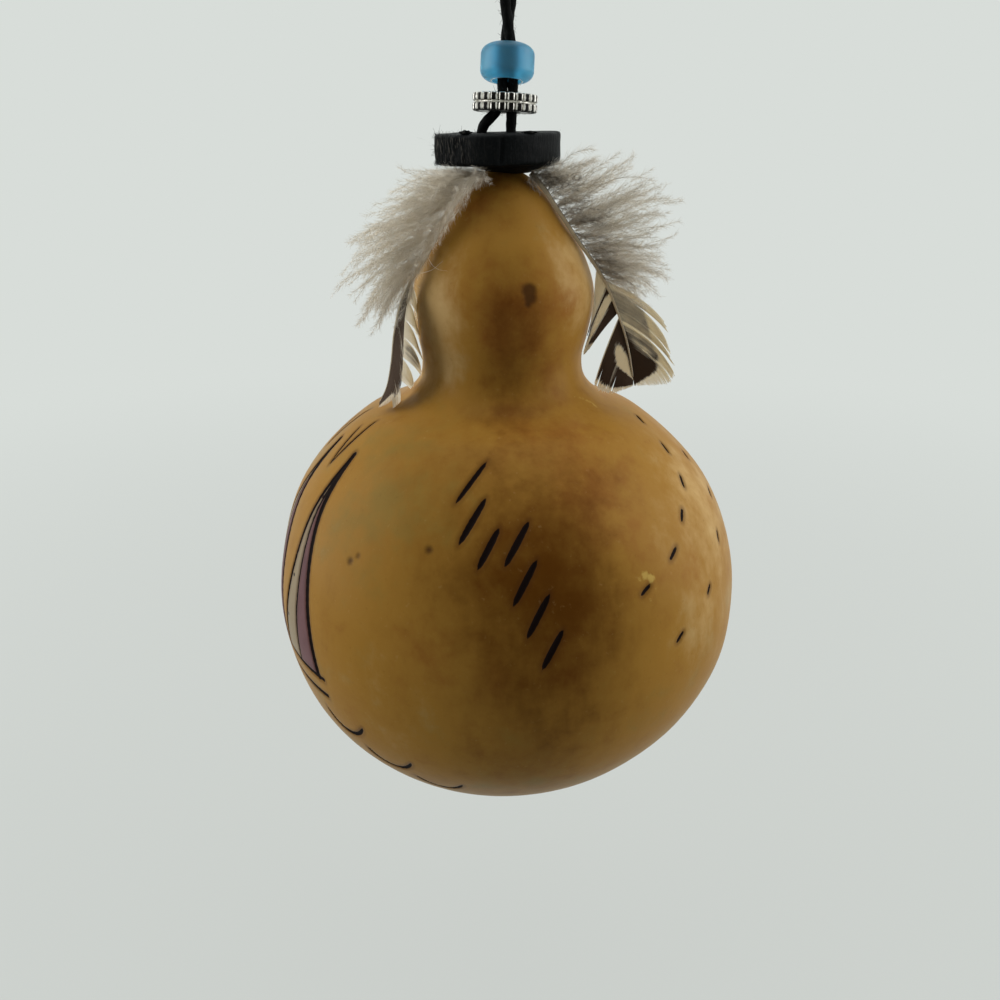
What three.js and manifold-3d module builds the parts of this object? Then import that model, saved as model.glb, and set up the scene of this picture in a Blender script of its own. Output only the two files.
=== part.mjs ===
// A dried bottle gourd that hangs from a doubled waxed cord, with two beads,
// a leather disc and a feather tucked under the disc on each side.
// Millimetres, +Z up. The origin is where a hook bears on the inside of the loop's crown.
// +X is to the right and +Y goes away from someone who looks at the front.
import * as THREE from 'three';
import { mergeVertices } from 'three/addons/utils/BufferGeometryUtils.js';
import Module from 'manifold-3d';

const wasm = await Module();
wasm.setup();

const V = (x, y, z) => new THREE.Vector3(x, y, z);

// Gaps
const TOUCH_GAP = 0.3;            // between pieces that touch
const SKIN_GAP = 0.4;             // between the feathers and the gourd's skin

// Cord
const CORD_D = 1.8;
const CORD_SIDES = 8;
const STRAND_OFFSET = 0.95;       // each strand's centre from the middle of the pair
const PAIR_X = -0.1;              // the pair hangs a little left of the loop's crown
const TWIST_PITCH = 36;           // height of one full turn of the pair
const KNOT_Z = -27;               // centre of the loop's knot, where the ornament swings
const KNOT_R = 3.4;
const LOOP_STEPS = 34;
const SPLIT_Z = -46.7;            // the turning part of the pair ends here, inside the glass bead
const SPLIT_GAP = 0.5;
const STRAIGHT_Z = -50;           // below this the strands lie side by side
const STOPPER_R = 4.2;
const STOPPER_X = -1.1;
const STOPPER_Z = -75;
const LEFT_STEPS = 13;            // the left strand bends more, so it has more steps
const RIGHT_STEPS = 9;

// Glass bead
const BEAD_Z = -46.7;
const BEAD_X = -0.15;
const BEAD_OD = 9;
const BEAD_H = 6;
const BEAD_HOLE_R = 2.45;
const BEAD_ROUND = 1.7;           // height of the rounding at each end
const BEAD_HOLE_ROUND = 0.25;
const BEAD_AROUND = 32;
const BEAD_LEAN_BACK = 8.5;       // degrees
const BEAD_LEAN_RIGHT = 2.5;

// Spacer bead
const SPACER_Z = -52.95;
const SPACER_X = -0.55;
const SPACER_OD = 11;
const SPACER_H = 3;
const SPACER_HOLE_R = 2.7;
const SPACER_RIBS = 23;
const SPACER_RIB_DEPTH = 0.55;
const SPACER_RIB_POINTS = 4;      // points of the outline for each rib
const SPACER_GROOVE = 0.3;        // between its two rows of ribs
const SPACER_HUB_R = 4.8;         // the plain tube that carries both rows
const SPACER_HUB_H = 2;
const SPACER_LEAN_RIGHT = 2.5;

// Leather disc
const DISC_X = -1.8;
const DISC_Z = -60.05;            // middle of its thickness
const DISC_W = 21.6;
const DISC_H = 5.0;
const DISC_LOBES = 4;
const DISC_LOBE_DEPTH = 0.35;
const DISC_TIP_FORWARD = 2.6;     // degrees, its top faces the viewer a little
const DISC_TIP_LEFT = 1.2;
const DISC_HOLE_D = 2.5;
const DISC_HOLE_STEPS = 26;
const DISC_POINTS = 64;

// Gourd: heights are above its base
const GOURD_BASE_Z = -183;
const GOURD_WALL = 3;
const GOURD_HOLE_R = 2.9;
const GOURD_AROUND = 48;
const GOURD_OUTER_STEPS = 36;
const GOURD_INNER_STEPS = 20;
const GOURD_LEAN_STEPS = 60;
const NEAR_GOURD_AROUND = 64;
const NEAR_GOURD_STEPS = 40;
const GOURD_OUTLINE = [           // [radius, height]
  [0, 0], [14.2, 2.3], [27.8, 9.5], [39.2, 21.8], [44.0, 35.5], [43.9, 49.0],
  [38.6, 64.2], [26.4, 76.5], [18.35, 80.3], [15.4, 83.5], [14.75, 87.3], [15.5, 91.6],
  [16.3, 99.4], [14.1, 106.2], [10.9, 111.1], [7.9, 115.7], [4.7, 118.4], [2.9, 119.3],
];
const GOURD_LEAN = [              // [height, sideways shift of its centre line]
  [0, -1.2], [23, -0.4], [48, 0], [86, -1.2], [100, -0.8], [119, -1.1],
];

// Feathers
const QUILL_D = 0.85;
const QUILL_SIDES = 6;
const QUILL_ROOM = 0.45;          // between a quill and the down round it
const VANE_T = 0.5;
const DOWN_DEPTH = 8;             // front to back
const DOWN_FULLNESS = 0.6;        // lower is fuller
const DOWN_AROUND = 36;
const DOWN_RINGS = 8;

const colours = {
  cord: new THREE.MeshStandardMaterial({ color: 0x0d0d0e, roughness: 0.75, metalness: 0 }),
  glass: new THREE.MeshStandardMaterial({ color: 0x4f9fc6, roughness: 0.55, metalness: 0 }),
  silver: new THREE.MeshStandardMaterial({ color: 0xb9b5ad, roughness: 0.35, metalness: 1 }),
  leather: new THREE.MeshStandardMaterial({ color: 0x131415, roughness: 0.6, metalness: 0 }),
  gourd: new THREE.MeshStandardMaterial({ color: 0x9a6a2c, roughness: 0.3, metalness: 0 }),
  quill: new THREE.MeshStandardMaterial({ color: 0xb9ab9a, roughness: 0.5, metalness: 0 }),
  vane: new THREE.MeshStandardMaterial({ color: 0x4b3d36, roughness: 0.8, metalness: 0 }),
  down: new THREE.MeshStandardMaterial({ color: 0x9d938b, roughness: 0.9, metalness: 0 }),
};

const part = new THREE.Group();

function add(name, geometry, material) {
  const mesh = new THREE.Mesh(geometry, material);
  mesh.name = name;
  part.add(mesh);
  return mesh;
}

// A geometry with shared vertices and no other attributes, its faces turned outwards.
function closed(geometry) {
  const bare = new THREE.BufferGeometry();
  bare.setAttribute('position', geometry.getAttribute('position').clone());
  if (geometry.index) bare.setIndex(geometry.index.clone());
  const merged = mergeVertices(bare, 1e-4);
  const at = merged.getAttribute('position');
  const index = merged.index.array;
  const [a, b, c] = [V(), V(), V()];
  let volume = 0;
  for (let i = 0; i < index.length; i += 3) {
    a.fromBufferAttribute(at, index[i]);
    b.fromBufferAttribute(at, index[i + 1]);
    c.fromBufferAttribute(at, index[i + 2]);
    volume += a.dot(b.cross(c));
  }
  if (volume < 0) {
    for (let i = 0; i < index.length; i += 3) {
      [index[i], index[i + 1]] = [index[i + 1], index[i]];
    }
  }
  return merged;
}

function solid(geometry) {
  const tidy = closed(geometry);
  return new wasm.Manifold(new wasm.Mesh({
    numProp: 3,
    vertProperties: new Float32Array(tidy.getAttribute('position').array),
    triVerts: new Uint32Array(tidy.index.array),
  }));
}

function geometryOf(body) {
  const { vertProperties, triVerts } = body.getMesh();
  const geometry = new THREE.BufferGeometry();
  geometry.setAttribute('position', new THREE.BufferAttribute(new Float32Array(vertProperties), 3));
  geometry.setIndex(new THREE.BufferAttribute(new Uint32Array(triVerts), 1));
  return geometry;
}

function tube(points, diameter, steps, sides = CORD_SIDES) {
  const section = new THREE.Shape();
  for (let i = 0; i < sides; i += 1) {
    const turn = (2 * Math.PI * i) / sides;
    const [x, y] = [(diameter / 2) * Math.cos(turn), (diameter / 2) * Math.sin(turn)];
    if (i === 0) section.moveTo(x, y);
    else section.lineTo(x, y);
  }
  section.closePath();
  const extrudePath = new THREE.CatmullRomCurve3(points);
  return new THREE.ExtrudeGeometry(section, { steps, extrudePath });
}

// A lathe about Z from [radius, z] pairs.
function turned(profile, around) {
  const points = profile.map(([r, z]) => new THREE.Vector2(r, z));
  return new THREE.LatheGeometry(points, around).rotateX(Math.PI / 2);
}

// The strands' places in the pair: side is 1 for the strand on the right below the beads.
function strandAt(side, z) {
  const turn = (2 * Math.PI * Math.max(0, z - STRAIGHT_Z)) / TWIST_PITCH;
  return V(PAIR_X + side * STRAND_OFFSET * Math.cos(turn), -side * STRAND_OFFSET * Math.sin(turn), z);
}

// Hanging loop

const LOOP_HALF = [               // the left half, from the knot up to the crown
  V(-0.95, 0, -23.3), V(-1.0, 0, -21.6), V(-1.8, 0, -19.4), V(-3.2, 0, -16.6), V(-4.8, 0, -13.2),
  V(-6.0, 0, -9.4), V(-6.3, 0, -5.8), V(-5.6, 0, -2.6), V(-4.0, 0, -0.4), V(-2.0, 0, 0.6),
];
const LOOP_ROUTE = [
  ...LOOP_HALF,
  V(0, 0, CORD_D / 2),
  ...LOOP_HALF.map((p) => V(-p.x, p.y, p.z)).reverse(),
];
add('hanging_loop', closed(tube(LOOP_ROUTE, CORD_D, LOOP_STEPS)), colours.cord);

const knot = add('loop_knot', new THREE.SphereGeometry(KNOT_R, 20, 12), colours.cord);
knot.position.z = KNOT_Z;

// Strands

const PAIR_TOP_Z = KNOT_Z - KNOT_R - TOUCH_GAP;
const PAIR_STEPS = 6;
for (const [name, side] of [['pair_left', -1], ['pair_right', 1]]) {
  const low = SPLIT_Z + SPLIT_GAP / 2;
  const points = Array.from({ length: 2 * PAIR_STEPS + 1 }, (_, i) => (
    strandAt(side, THREE.MathUtils.lerp(PAIR_TOP_Z, low, i / (2 * PAIR_STEPS)))
  ));
  add(name, closed(tube(points, CORD_D, PAIR_STEPS)), colours.cord);
}

const STRAND_END_Z = STOPPER_Z + STOPPER_R + 2 * TOUCH_GAP;
const STRAND_LEFT = [
  strandAt(-1, SPLIT_Z - SPLIT_GAP / 2), strandAt(-1, -48.4), strandAt(-1, -50),
  V(-1.1, 0, -51.8), V(-1.35, 0, -53.0), V(-1.95, 0, -54.1), V(-2.8, 0, -55.0), V(-3.6, 0, -55.8),
  V(-4.3, 0, -56.7), V(-4.6, 0, -57.8), V(-4.5, 0, -59.2), V(-4.0, 0, -60.8), V(-3.4, 0, -62.3),
  V(-3.0, 0, -64.0), V(-2.9, 0, -66.0), V(-2.7, 0, -68.0), V(-2.4, 0, STRAND_END_Z),
];
const STRAND_RIGHT = [
  strandAt(1, SPLIT_Z - SPLIT_GAP / 2), strandAt(1, -48.4), strandAt(1, -50),
  V(0.8, 0, -51.8), V(0.7, 0, -53.2), V(0.55, 0, -54.6), V(0.5, 0, -56.0), V(0.5, 0, -58.0),
  V(0.5, 0, -60.0), V(0.5, 0, -62.0), V(0.5, 0, -64.0), V(0.45, 0, -66.0), V(0.3, 0, -68.0),
  V(0.2, 0, STRAND_END_Z),
];
add('strand_left', closed(tube(STRAND_LEFT, CORD_D, LEFT_STEPS)), colours.cord);
add('strand_right', closed(tube(STRAND_RIGHT, CORD_D, RIGHT_STEPS)), colours.cord);

const stopper = add('stopper_knot', new THREE.SphereGeometry(STOPPER_R, 16, 10), colours.cord);
stopper.position.set(STOPPER_X, 0, STOPPER_Z);

// Beads

const BEAD_END_R = BEAD_HOLE_R + BEAD_HOLE_ROUND;
const beadSide = [1, 0.75, 0.5, 0.25, 0].map((t) => {
  const turn = (t * Math.PI) / 2;
  return [
    BEAD_END_R + (BEAD_OD / 2 - BEAD_END_R) * Math.cos(turn),
    BEAD_H / 2 - BEAD_ROUND + BEAD_ROUND * Math.sin(turn),
  ];
});
const beadHalf = [[BEAD_HOLE_R, BEAD_H / 2 - BEAD_HOLE_ROUND], ...beadSide];
const beadProfile = [
  ...beadHalf,
  ...beadHalf.map(([r, z]) => [r, -z]).reverse(),
  beadHalf[0],
];
const bead = add('glass_bead', closed(turned(beadProfile, BEAD_AROUND)), colours.glass);
bead.position.set(BEAD_X, 0, BEAD_Z);
bead.rotation.set(
  -THREE.MathUtils.degToRad(BEAD_LEAN_BACK),
  THREE.MathUtils.degToRad(BEAD_LEAN_RIGHT),
  0,
);

function spacerRow(height) {
  const outline = new THREE.Shape();
  const points = SPACER_RIBS * SPACER_RIB_POINTS;
  for (let i = 0; i < points; i += 1) {
    const turn = (2 * Math.PI * i) / points;
    const r = SPACER_OD / 2 - SPACER_RIB_DEPTH * 0.5 * (1 - Math.cos(SPACER_RIBS * turn));
    if (i === 0) outline.moveTo(r, 0);
    else outline.lineTo(r * Math.cos(turn), r * Math.sin(turn));
  }
  outline.closePath();
  outline.holes.push(new THREE.Path().absarc(0, 0, SPACER_HOLE_R, 0, 2 * Math.PI, true));
  return new THREE.ExtrudeGeometry(outline, { depth: height, bevelEnabled: false, curveSegments: 16 });
}

const ROW_H = (SPACER_H - SPACER_GROOVE) / 2;
const hubEdge = [
  [SPACER_HOLE_R, -SPACER_HUB_H / 2], [SPACER_HUB_R, -SPACER_HUB_H / 2],
  [SPACER_HUB_R, SPACER_HUB_H / 2], [SPACER_HOLE_R, SPACER_HUB_H / 2],
];
const hub = solid(turned([...hubEdge, hubEdge[0]], BEAD_AROUND));
const rows = [-SPACER_H / 2, SPACER_GROOVE / 2].map((z) => (
  solid(spacerRow(ROW_H).translate(0, 0, z))
));
const spacer = add('spacer_bead', geometryOf(rows[0].add(hub).add(rows[1])), colours.silver);
spacer.position.set(SPACER_X, 0, SPACER_Z);
spacer.rotation.y = THREE.MathUtils.degToRad(SPACER_LEAN_RIGHT);

// Leather disc, its two holes slanting with the strands

function discBlank() {
  const outline = new THREE.Shape();
  for (let i = 0; i < DISC_POINTS; i += 1) {
    const turn = (2 * Math.PI * i) / DISC_POINTS;
    const r = DISC_W / 2 - DISC_LOBE_DEPTH * (1 + Math.cos(DISC_LOBES * turn + Math.PI)) / 2;
    if (i === 0) outline.moveTo(r, 0);
    else outline.lineTo(r * Math.cos(turn), r * Math.sin(turn));
  }
  outline.closePath();
  return new THREE.ExtrudeGeometry(outline, { depth: DISC_H, bevelEnabled: false })
    .translate(0, 0, -DISC_H / 2)
    .rotateX(THREE.MathUtils.degToRad(DISC_TIP_FORWARD))
    .rotateY(-THREE.MathUtils.degToRad(DISC_TIP_LEFT))
    .translate(DISC_X, 0, DISC_Z);
}

const disc = [STRAND_LEFT, STRAND_RIGHT].reduce(
  (body, route) => body.subtract(solid(tube(route, DISC_HOLE_D, DISC_HOLE_STEPS))),
  solid(discBlank()),
);
add('leather_disc', geometryOf(disc), colours.leather);

// Gourd

const outlineCurve = new THREE.CatmullRomCurve3(GOURD_OUTLINE.map(([r, h]) => V(r, h, 0)));
const leanCurve = new THREE.SplineCurve(GOURD_LEAN.map(([h, x]) => new THREE.Vector2(h, x)));
const leanTable = leanCurve.getPoints(GOURD_LEAN_STEPS);

function leanAt(height) {
  const next = leanTable.findIndex((p) => p.x >= height);
  if (next <= 0) return next === 0 ? GOURD_LEAN[0][1] : GOURD_LEAN.at(-1)[1];
  const [a, b] = [leanTable[next - 1], leanTable[next]];
  return THREE.MathUtils.mapLinear(height, a.x, b.x, a.y, b.y);
}

// The outline moved along its normal, outwards when grow is positive.
function skin(grow, count) {
  return Array.from({ length: count + 1 }, (_, i) => {
    const at = outlineCurve.getPoint(i / count);
    const along = outlineCurve.getTangent(i / count);
    return [Math.max(0, at.x + along.y * grow), at.y - along.x * grow];
  });
}

function leaning(profile, around) {
  const geometry = closed(turned(profile, around));
  const at = geometry.getAttribute('position');
  for (let i = 0; i < at.count; i += 1) {
    at.setX(i, at.getX(i) + leanAt(at.getZ(i)));
  }
  return geometry.translate(0, 0, GOURD_BASE_Z);
}

const outer = skin(0, GOURD_OUTER_STEPS);
const inner = skin(-GOURD_WALL, GOURD_INNER_STEPS).filter(([r]) => r > GOURD_HOLE_R);
const rimZ = inner.at(-1)[1];
const gourd = leaning(
  [...outer, [GOURD_HOLE_R, rimZ], ...inner.reverse(), [0, GOURD_WALL]],
  GOURD_AROUND,
);
add('gourd_shell', gourd, colours.gourd);

// A slightly larger gourd, which cuts the feathers clear of its skin.
const grown = skin(SKIN_GAP, NEAR_GOURD_STEPS);
const nearGourd = solid(leaning(
  [[0, -SKIN_GAP], ...grown, [0, grown.at(-1)[1] + SKIN_GAP]],
  NEAR_GOURD_AROUND,
));

// Feathers: each web is a thin strip between a line along the quill and its free edge.
// A margin makes it wider and longer all round, as a cutter for what surrounds it.

function web(quillSide, freeEdge, thickness, margin = 0) {
  const corners = [];
  const count = quillSide.length;
  for (let i = 0; i < count; i += 1) {
    const along = quillSide[Math.min(i + 1, count - 1)].clone()
      .sub(quillSide[Math.max(i - 1, 0)]).normalize();
    const across = freeEdge[i].clone().sub(quillSide[i]).normalize();
    const out = along.clone().cross(across).normalize().multiplyScalar(thickness / 2);
    let stretch = 0;
    if (i === 0) stretch = -margin;
    if (i === count - 1) stretch = margin;
    const near = quillSide[i].clone().addScaledVector(across, -margin).addScaledVector(along, stretch);
    const far = freeEdge[i].clone().addScaledVector(across, margin).addScaledVector(along, stretch);
    corners.push(
      near.clone().add(out), far.clone().add(out), far.clone().sub(out), near.clone().sub(out),
    );
  }
  const faces = [[0, 1, 2], [0, 2, 3]];
  for (let i = 0; i + 1 < count; i += 1) {
    for (let k = 0; k < 4; k += 1) {
      const [a, b] = [4 * i + k, 4 * i + ((k + 1) % 4)];
      faces.push([a, a + 4, b + 4], [a, b + 4, b]);
    }
  }
  const last = 4 * (count - 1);
  faces.push([last, last + 2, last + 1], [last, last + 3, last + 2]);
  const geometry = new THREE.BufferGeometry().setFromPoints(corners);
  geometry.setIndex(faces.flat());
  return geometry;
}

// A pillow-like body: its outline is widest at the middle of its depth and it closes to a
// point in front and behind.
function tuft(outline, middleY) {
  const edge = new THREE.CatmullRomCurve3(outline.map(([x, z]) => V(x, middleY, z)), true)
    .getPoints(DOWN_AROUND).slice(0, -1);
  const centre = edge.reduce((sum, p) => sum.add(p), V()).divideScalar(edge.length);
  const points = [centre.clone().setY(middleY - DOWN_DEPTH / 2)];
  for (let ring = 1; ring < DOWN_RINGS; ring += 1) {
    const turn = Math.PI * (ring / DOWN_RINGS - 0.5);
    for (const p of edge) {
      const place = centre.clone().lerp(p, Math.cos(turn) ** DOWN_FULLNESS);
      points.push(place.setY(middleY + (DOWN_DEPTH / 2) * Math.sin(turn)));
    }
  }
  points.push(centre.clone().setY(middleY + DOWN_DEPTH / 2));
  const faces = [];
  const at = (ring, i) => 1 + (ring - 1) * DOWN_AROUND + (i % DOWN_AROUND);
  for (let i = 0; i < DOWN_AROUND; i += 1) {
    faces.push([0, at(1, i), at(1, i + 1)]);
    for (let ring = 1; ring + 1 < DOWN_RINGS; ring += 1) {
      faces.push([at(ring, i), at(ring + 1, i), at(ring + 1, i + 1)]);
      faces.push([at(ring, i), at(ring + 1, i + 1), at(ring, i + 1)]);
    }
    faces.push([points.length - 1, at(DOWN_RINGS - 1, i + 1), at(DOWN_RINGS - 1, i)]);
  }
  const geometry = new THREE.BufferGeometry().setFromPoints(points);
  geometry.setIndex(faces.flat());
  return geometry;
}

function feather({ side, quill, webs, downOutline, downY }) {
  const steps = quill.length - 1;
  add(`${side}_quill`, closed(tube(quill, QUILL_D, steps, QUILL_SIDES)), colours.quill);
  let down = solid(tuft(downOutline, downY))
    .subtract(nearGourd)
    .subtract(solid(tube(quill, QUILL_D + 2 * QUILL_ROOM, steps, QUILL_SIDES)));
  for (const [name, along, edge] of webs) {
    const blade = solid(web(along, edge, VANE_T)).subtract(nearGourd);
    add(`${side}_${name}`, geometryOf(blade), colours.vane);
    down = down.subtract(solid(web(along, edge, VANE_T + 2 * TOUCH_GAP, TOUCH_GAP)));
  }
  const pieces = down.decompose().sort((a, b) => b.volume() - a.volume());
  add(`${side}_down`, geometryOf(pieces[0]), colours.down);
}

feather({
  side: 'right',
  quill: [
    V(3.8, -4, -64.0), V(6.5, -4, -66.6), V(8.6, -4, -69.3), V(10.7, -4, -72.0), V(12.6, -4, -74.4),
    V(14.4, -4, -76.7), V(16.5, -4, -80.1), V(18.0, -4, -83.0), V(19.2, -4, -85.8), V(21.0, -4, -90.6),
    V(22.0, -4, -94.2), V(22.9, -4, -99.0),
  ],
  webs: [
    ['vane_outer',
      [V(18.0, -4, -81.2), V(20.4, -4, -86.4), V(21.6, -4, -89.6), V(22.9, -4, -94.4),
        V(23.6, -4, -97.6), V(23.8, -4, -100.2)],
      [V(19.2, -4.4, -82.0), V(24.6, -5.0, -86.2), V(28.1, -5.4, -89.4), V(29.4, -5.4, -94.8),
        V(30.4, -5.2, -98.2), V(29.9, -5.2, -100.2)]],
    ['vane_inner',
      [V(15.6, -4.6, -80.4), V(16.9, -4.6, -82.8), V(17.8, -4.6, -85.0), V(18.6, -4.6, -87.0)],
      [V(15.2, -5.6, -82.0), V(15.2, -6.0, -86.4), V(14.4, -6.2, -91.6), V(14.0, -6.2, -94.8)]],
    ['vane_tail',
      [V(19.5, -4, -88.6), V(20.3, -4, -91.0), V(21.1, -4, -93.8), V(21.8, -4, -97.2),
        V(22.1, -4, -100.6)],
      [V(19.1, -4.2, -89.2), V(18.6, -4.6, -92.6), V(17.8, -4.8, -96.6), V(16.8, -5.0, -100.4),
        V(19.0, -5.0, -101.8)]],
  ],
  downOutline: [
    [8.5, -66.4], [12.5, -65.8], [16.5, -64.0], [22.2, -63.0], [26.4, -66.9], [27.2, -74.9],
    [26.0, -83.0], [23.0, -85.4], [18.6, -84.2], [15.6, -80.2], [12.6, -75.6], [9.2, -71.2],
    [6.9, -68.4],
  ],
  downY: -4.5,
});

feather({
  side: 'left',
  quill: [
    V(-4.6, -5.0, -63.9), V(-6.2, -6.6, -65.6), V(-7.9, -7.6, -67.4), V(-9.9, -8.2, -70.0),
    V(-12.2, -8.4, -74.2), V(-14.4, -8.4, -78.0), V(-16.6, -8.0, -81.3), V(-18.6, -7.6, -85.4),
    V(-20.0, -7.3, -90.4), V(-20.8, -7.0, -95.8), V(-21.9, -6.6, -100.4), V(-23.3, -6.3, -103.2),
  ],
  webs: [
    ['vane_outer',
      [V(-19.1, -8.4, -86.4), V(-20.3, -8.2, -90.6), V(-21.1, -7.9, -95.8), V(-22.3, -7.5, -100.6),
        V(-23.6, -7.2, -103.0)],
      [V(-19.4, -9.6, -87.8), V(-20.6, -14.0, -92.4), V(-21.6, -15.6, -97.6), V(-23.6, -14.4, -102.0),
        V(-24.4, -10.4, -103.4)]],
    ['vane_inner',
      [V(-16.2, -7.0, -82.4), V(-17.7, -6.7, -86.0), V(-19.0, -6.3, -90.6), V(-19.9, -6.1, -95.8),
        V(-21.2, -5.7, -100.2)],
      [V(-15.6, -5.4, -83.4), V(-16.2, -3.0, -88.6), V(-16.4, -1.2, -94.0), V(-17.4, -0.6, -99.0),
        V(-20.2, -2.6, -101.4)]],
  ],
  downOutline: [
    [-7.6, -66.9], [-10.5, -66.5], [-13.6, -65.7], [-17.3, -63.9], [-20.8, -67.4], [-25.8, -74.6],
    [-27.6, -78.2], [-26.4, -83.0], [-23.5, -89.0], [-20.6, -87.6], [-17.6, -82.4], [-13.4, -76.6],
    [-9.8, -72.2], [-7.2, -69.8],
  ],
  downY: -9,
});

export default part;
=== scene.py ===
"""Looks of a varnished bottle gourd that hangs on a doubled black cord.

Sizes are in millimetres, as the fields say, and become metres where a mesh is written.
+X is to the right, +Y goes away from the viewer, and the origin is where a hook bears on
the inside of the crown of the hanging loop.
"""

import logging
import math
from collections.abc import Callable, Sequence
from dataclasses import dataclass
from enum import Enum

import bmesh
import bpy
import numpy as np
from mathutils import Matrix, Vector, noise
from mathutils.bvhtree import BVHTree


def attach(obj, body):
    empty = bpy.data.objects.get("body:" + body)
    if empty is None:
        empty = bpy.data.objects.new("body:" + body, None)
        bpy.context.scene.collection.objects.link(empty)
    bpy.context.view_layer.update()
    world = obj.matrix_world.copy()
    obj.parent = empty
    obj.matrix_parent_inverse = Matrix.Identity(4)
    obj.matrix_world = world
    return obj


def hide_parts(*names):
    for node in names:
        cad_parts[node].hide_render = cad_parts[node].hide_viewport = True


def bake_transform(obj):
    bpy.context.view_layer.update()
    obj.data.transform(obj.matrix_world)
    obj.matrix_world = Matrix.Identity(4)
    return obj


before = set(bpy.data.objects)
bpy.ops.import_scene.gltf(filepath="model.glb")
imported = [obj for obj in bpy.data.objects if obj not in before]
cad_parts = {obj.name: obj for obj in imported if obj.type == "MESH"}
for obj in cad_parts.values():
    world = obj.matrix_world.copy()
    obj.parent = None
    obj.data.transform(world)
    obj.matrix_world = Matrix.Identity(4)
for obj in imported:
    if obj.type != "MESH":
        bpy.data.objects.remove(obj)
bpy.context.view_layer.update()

LOG = logging.getLogger("gourd")
MM = 0.001
PHOTO_SIDE = 1000
MERGE_WITHIN = 1e-7
SHORTEST = 1e-12
TIP_TAPER = 0.6
CURVE_STEPS = 200
# The colour sockets of a Mix node
MIX_FIRST, MIX_SECOND, MIX_RESULT = 6, 7, 2
Array = np.ndarray
BMesh = bmesh.types.BMesh
Material = bpy.types.Material
Socket = bpy.types.NodeSocket
Point = Sequence[float]
Place = Callable[[Array, Array], Array]


class Slot(Enum):
    """The record's material slots."""

    GOURD = "gourd_skin"
    LEATHER = "black_leather"
    CORD = "waxed_cord"
    GLASS = "frosted_glass"
    SILVER = "old_silver"
    QUILL = "feather_quill"
    VANE = "feather_vane"
    DOWN = "feather_down"


# Curves and meshes


def curve_through(points: Sequence[Point], count: int) -> Array:
    """Points on the centripetal Catmull-Rom curve through the given ones.

    Args:
        points: The points that the curve passes.
        count: How many steps the curve is cut into.

    Returns:
        An array of count + 1 points.
    """
    given = np.asarray(points, float)
    padded = np.vstack([2 * given[0] - given[1], given, 2 * given[-1] - given[-2]])
    place = np.linspace(0, len(given) - 1, count + 1)
    first = np.minimum(place.astype(int), len(given) - 2)
    t = (place - first)[:, None]
    before, a, b, after = (padded[first + k] for k in range(4))
    root = [np.sqrt(np.linalg.norm(q - p, axis=1))[:, None] for p, q in ((before, a), (a, b), (b, after))]
    leave = ((a - before) / root[0] - (b - before) / (root[0] + root[1]) + (b - a) / root[1]) * root[1]
    arrive = ((b - a) / root[1] - (after - a) / (root[1] + root[2]) + (after - b) / root[2]) * root[1]
    cubic = 2 * (a - b) + leave + arrive
    square = 3 * (b - a) - 2 * leave - arrive
    return a + leave * t + square * t**2 + cubic * t**3


def length_along(route: Array) -> Array:
    """The length from the start to each point of a route."""
    return np.concatenate([[0.0], np.cumsum(np.linalg.norm(np.diff(route, axis=0), axis=1))])


def sampled(route: Array, at: Array, wanted: Array) -> Array:
    """The route's points at wanted places; at holds the place of each of its own points."""
    return np.column_stack([np.interp(wanted, at, route[:, k]) for k in range(route.shape[1])])


def even(route: Array, count: int) -> Array:
    """The same route with count equal steps."""
    at = length_along(route)
    return sampled(route, at, np.linspace(0, at[-1], count + 1))


def between(start: Point, end: Point, count: int) -> list[Array]:
    """Evenly spaced points on a straight line, both ends with them."""
    first, last = np.asarray(start), np.asarray(end)
    return [first + (last - first) * t for t in np.linspace(0, 1, count)]


def shares(points: int) -> Array:
    """Shares from 0 to 1 along a strip, shaped to go with strips by points by 3."""
    return np.linspace(0, 1, points)[None, :, None]


def unit(vectors: Array) -> Array:
    """The vectors at length one."""
    return vectors / np.maximum(np.linalg.norm(vectors, axis=-1, keepdims=True), SHORTEST)


def smooth(x: Array, low: float, high: float) -> Array:
    """0 below low, 1 above high and a soft step between."""
    t = np.clip((x - low) / (high - low), 0, 1)
    return t * t * (3 - 2 * t)


def carried_frames(route: Array) -> tuple[Array, Array]:
    """Two unit vectors square to the route at each point, carried along without a twist.

    Args:
        route: The points of the route.

    Returns:
        The first and the second vector at each point.
    """
    along = unit(np.gradient(route, axis=0))
    first = np.cross(along[0], (0.0, 1.0, 0.0))
    if np.linalg.norm(first) < 0.1:
        first = np.cross(along[0], (1.0, 0.0, 0.0))
    side = [first / np.linalg.norm(first)]
    for direction in along[1:]:
        carried = side[-1] - direction * (side[-1] @ direction)
        side.append(carried / np.linalg.norm(carried))
    sides = np.array(side)
    return sides, np.cross(along, sides)


def grid(columns: int, rows: int, place: Place) -> BMesh:
    """A grid of faces with a UV map, each point put where place says.

    Args:
        columns: Faces across, where u goes from 0 to 1.
        rows: Faces along, where w goes from 0 to 1.
        place: Gives the points in millimetres for arrays of u and w.

    Returns:
        The new mesh.
    """
    bm = bmesh.new()
    bm.loops.layers.uv.new("UVMap")
    bmesh.ops.create_grid(bm, x_segments=columns, y_segments=rows, size=1, calc_uvs=True)
    flat = np.array([v.co for v in bm.verts])
    for vert, point in zip(bm.verts, place((flat[:, 0] + 1) / 2, (flat[:, 1] + 1) / 2) * MM):
        vert.co = point
    return bm


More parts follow.
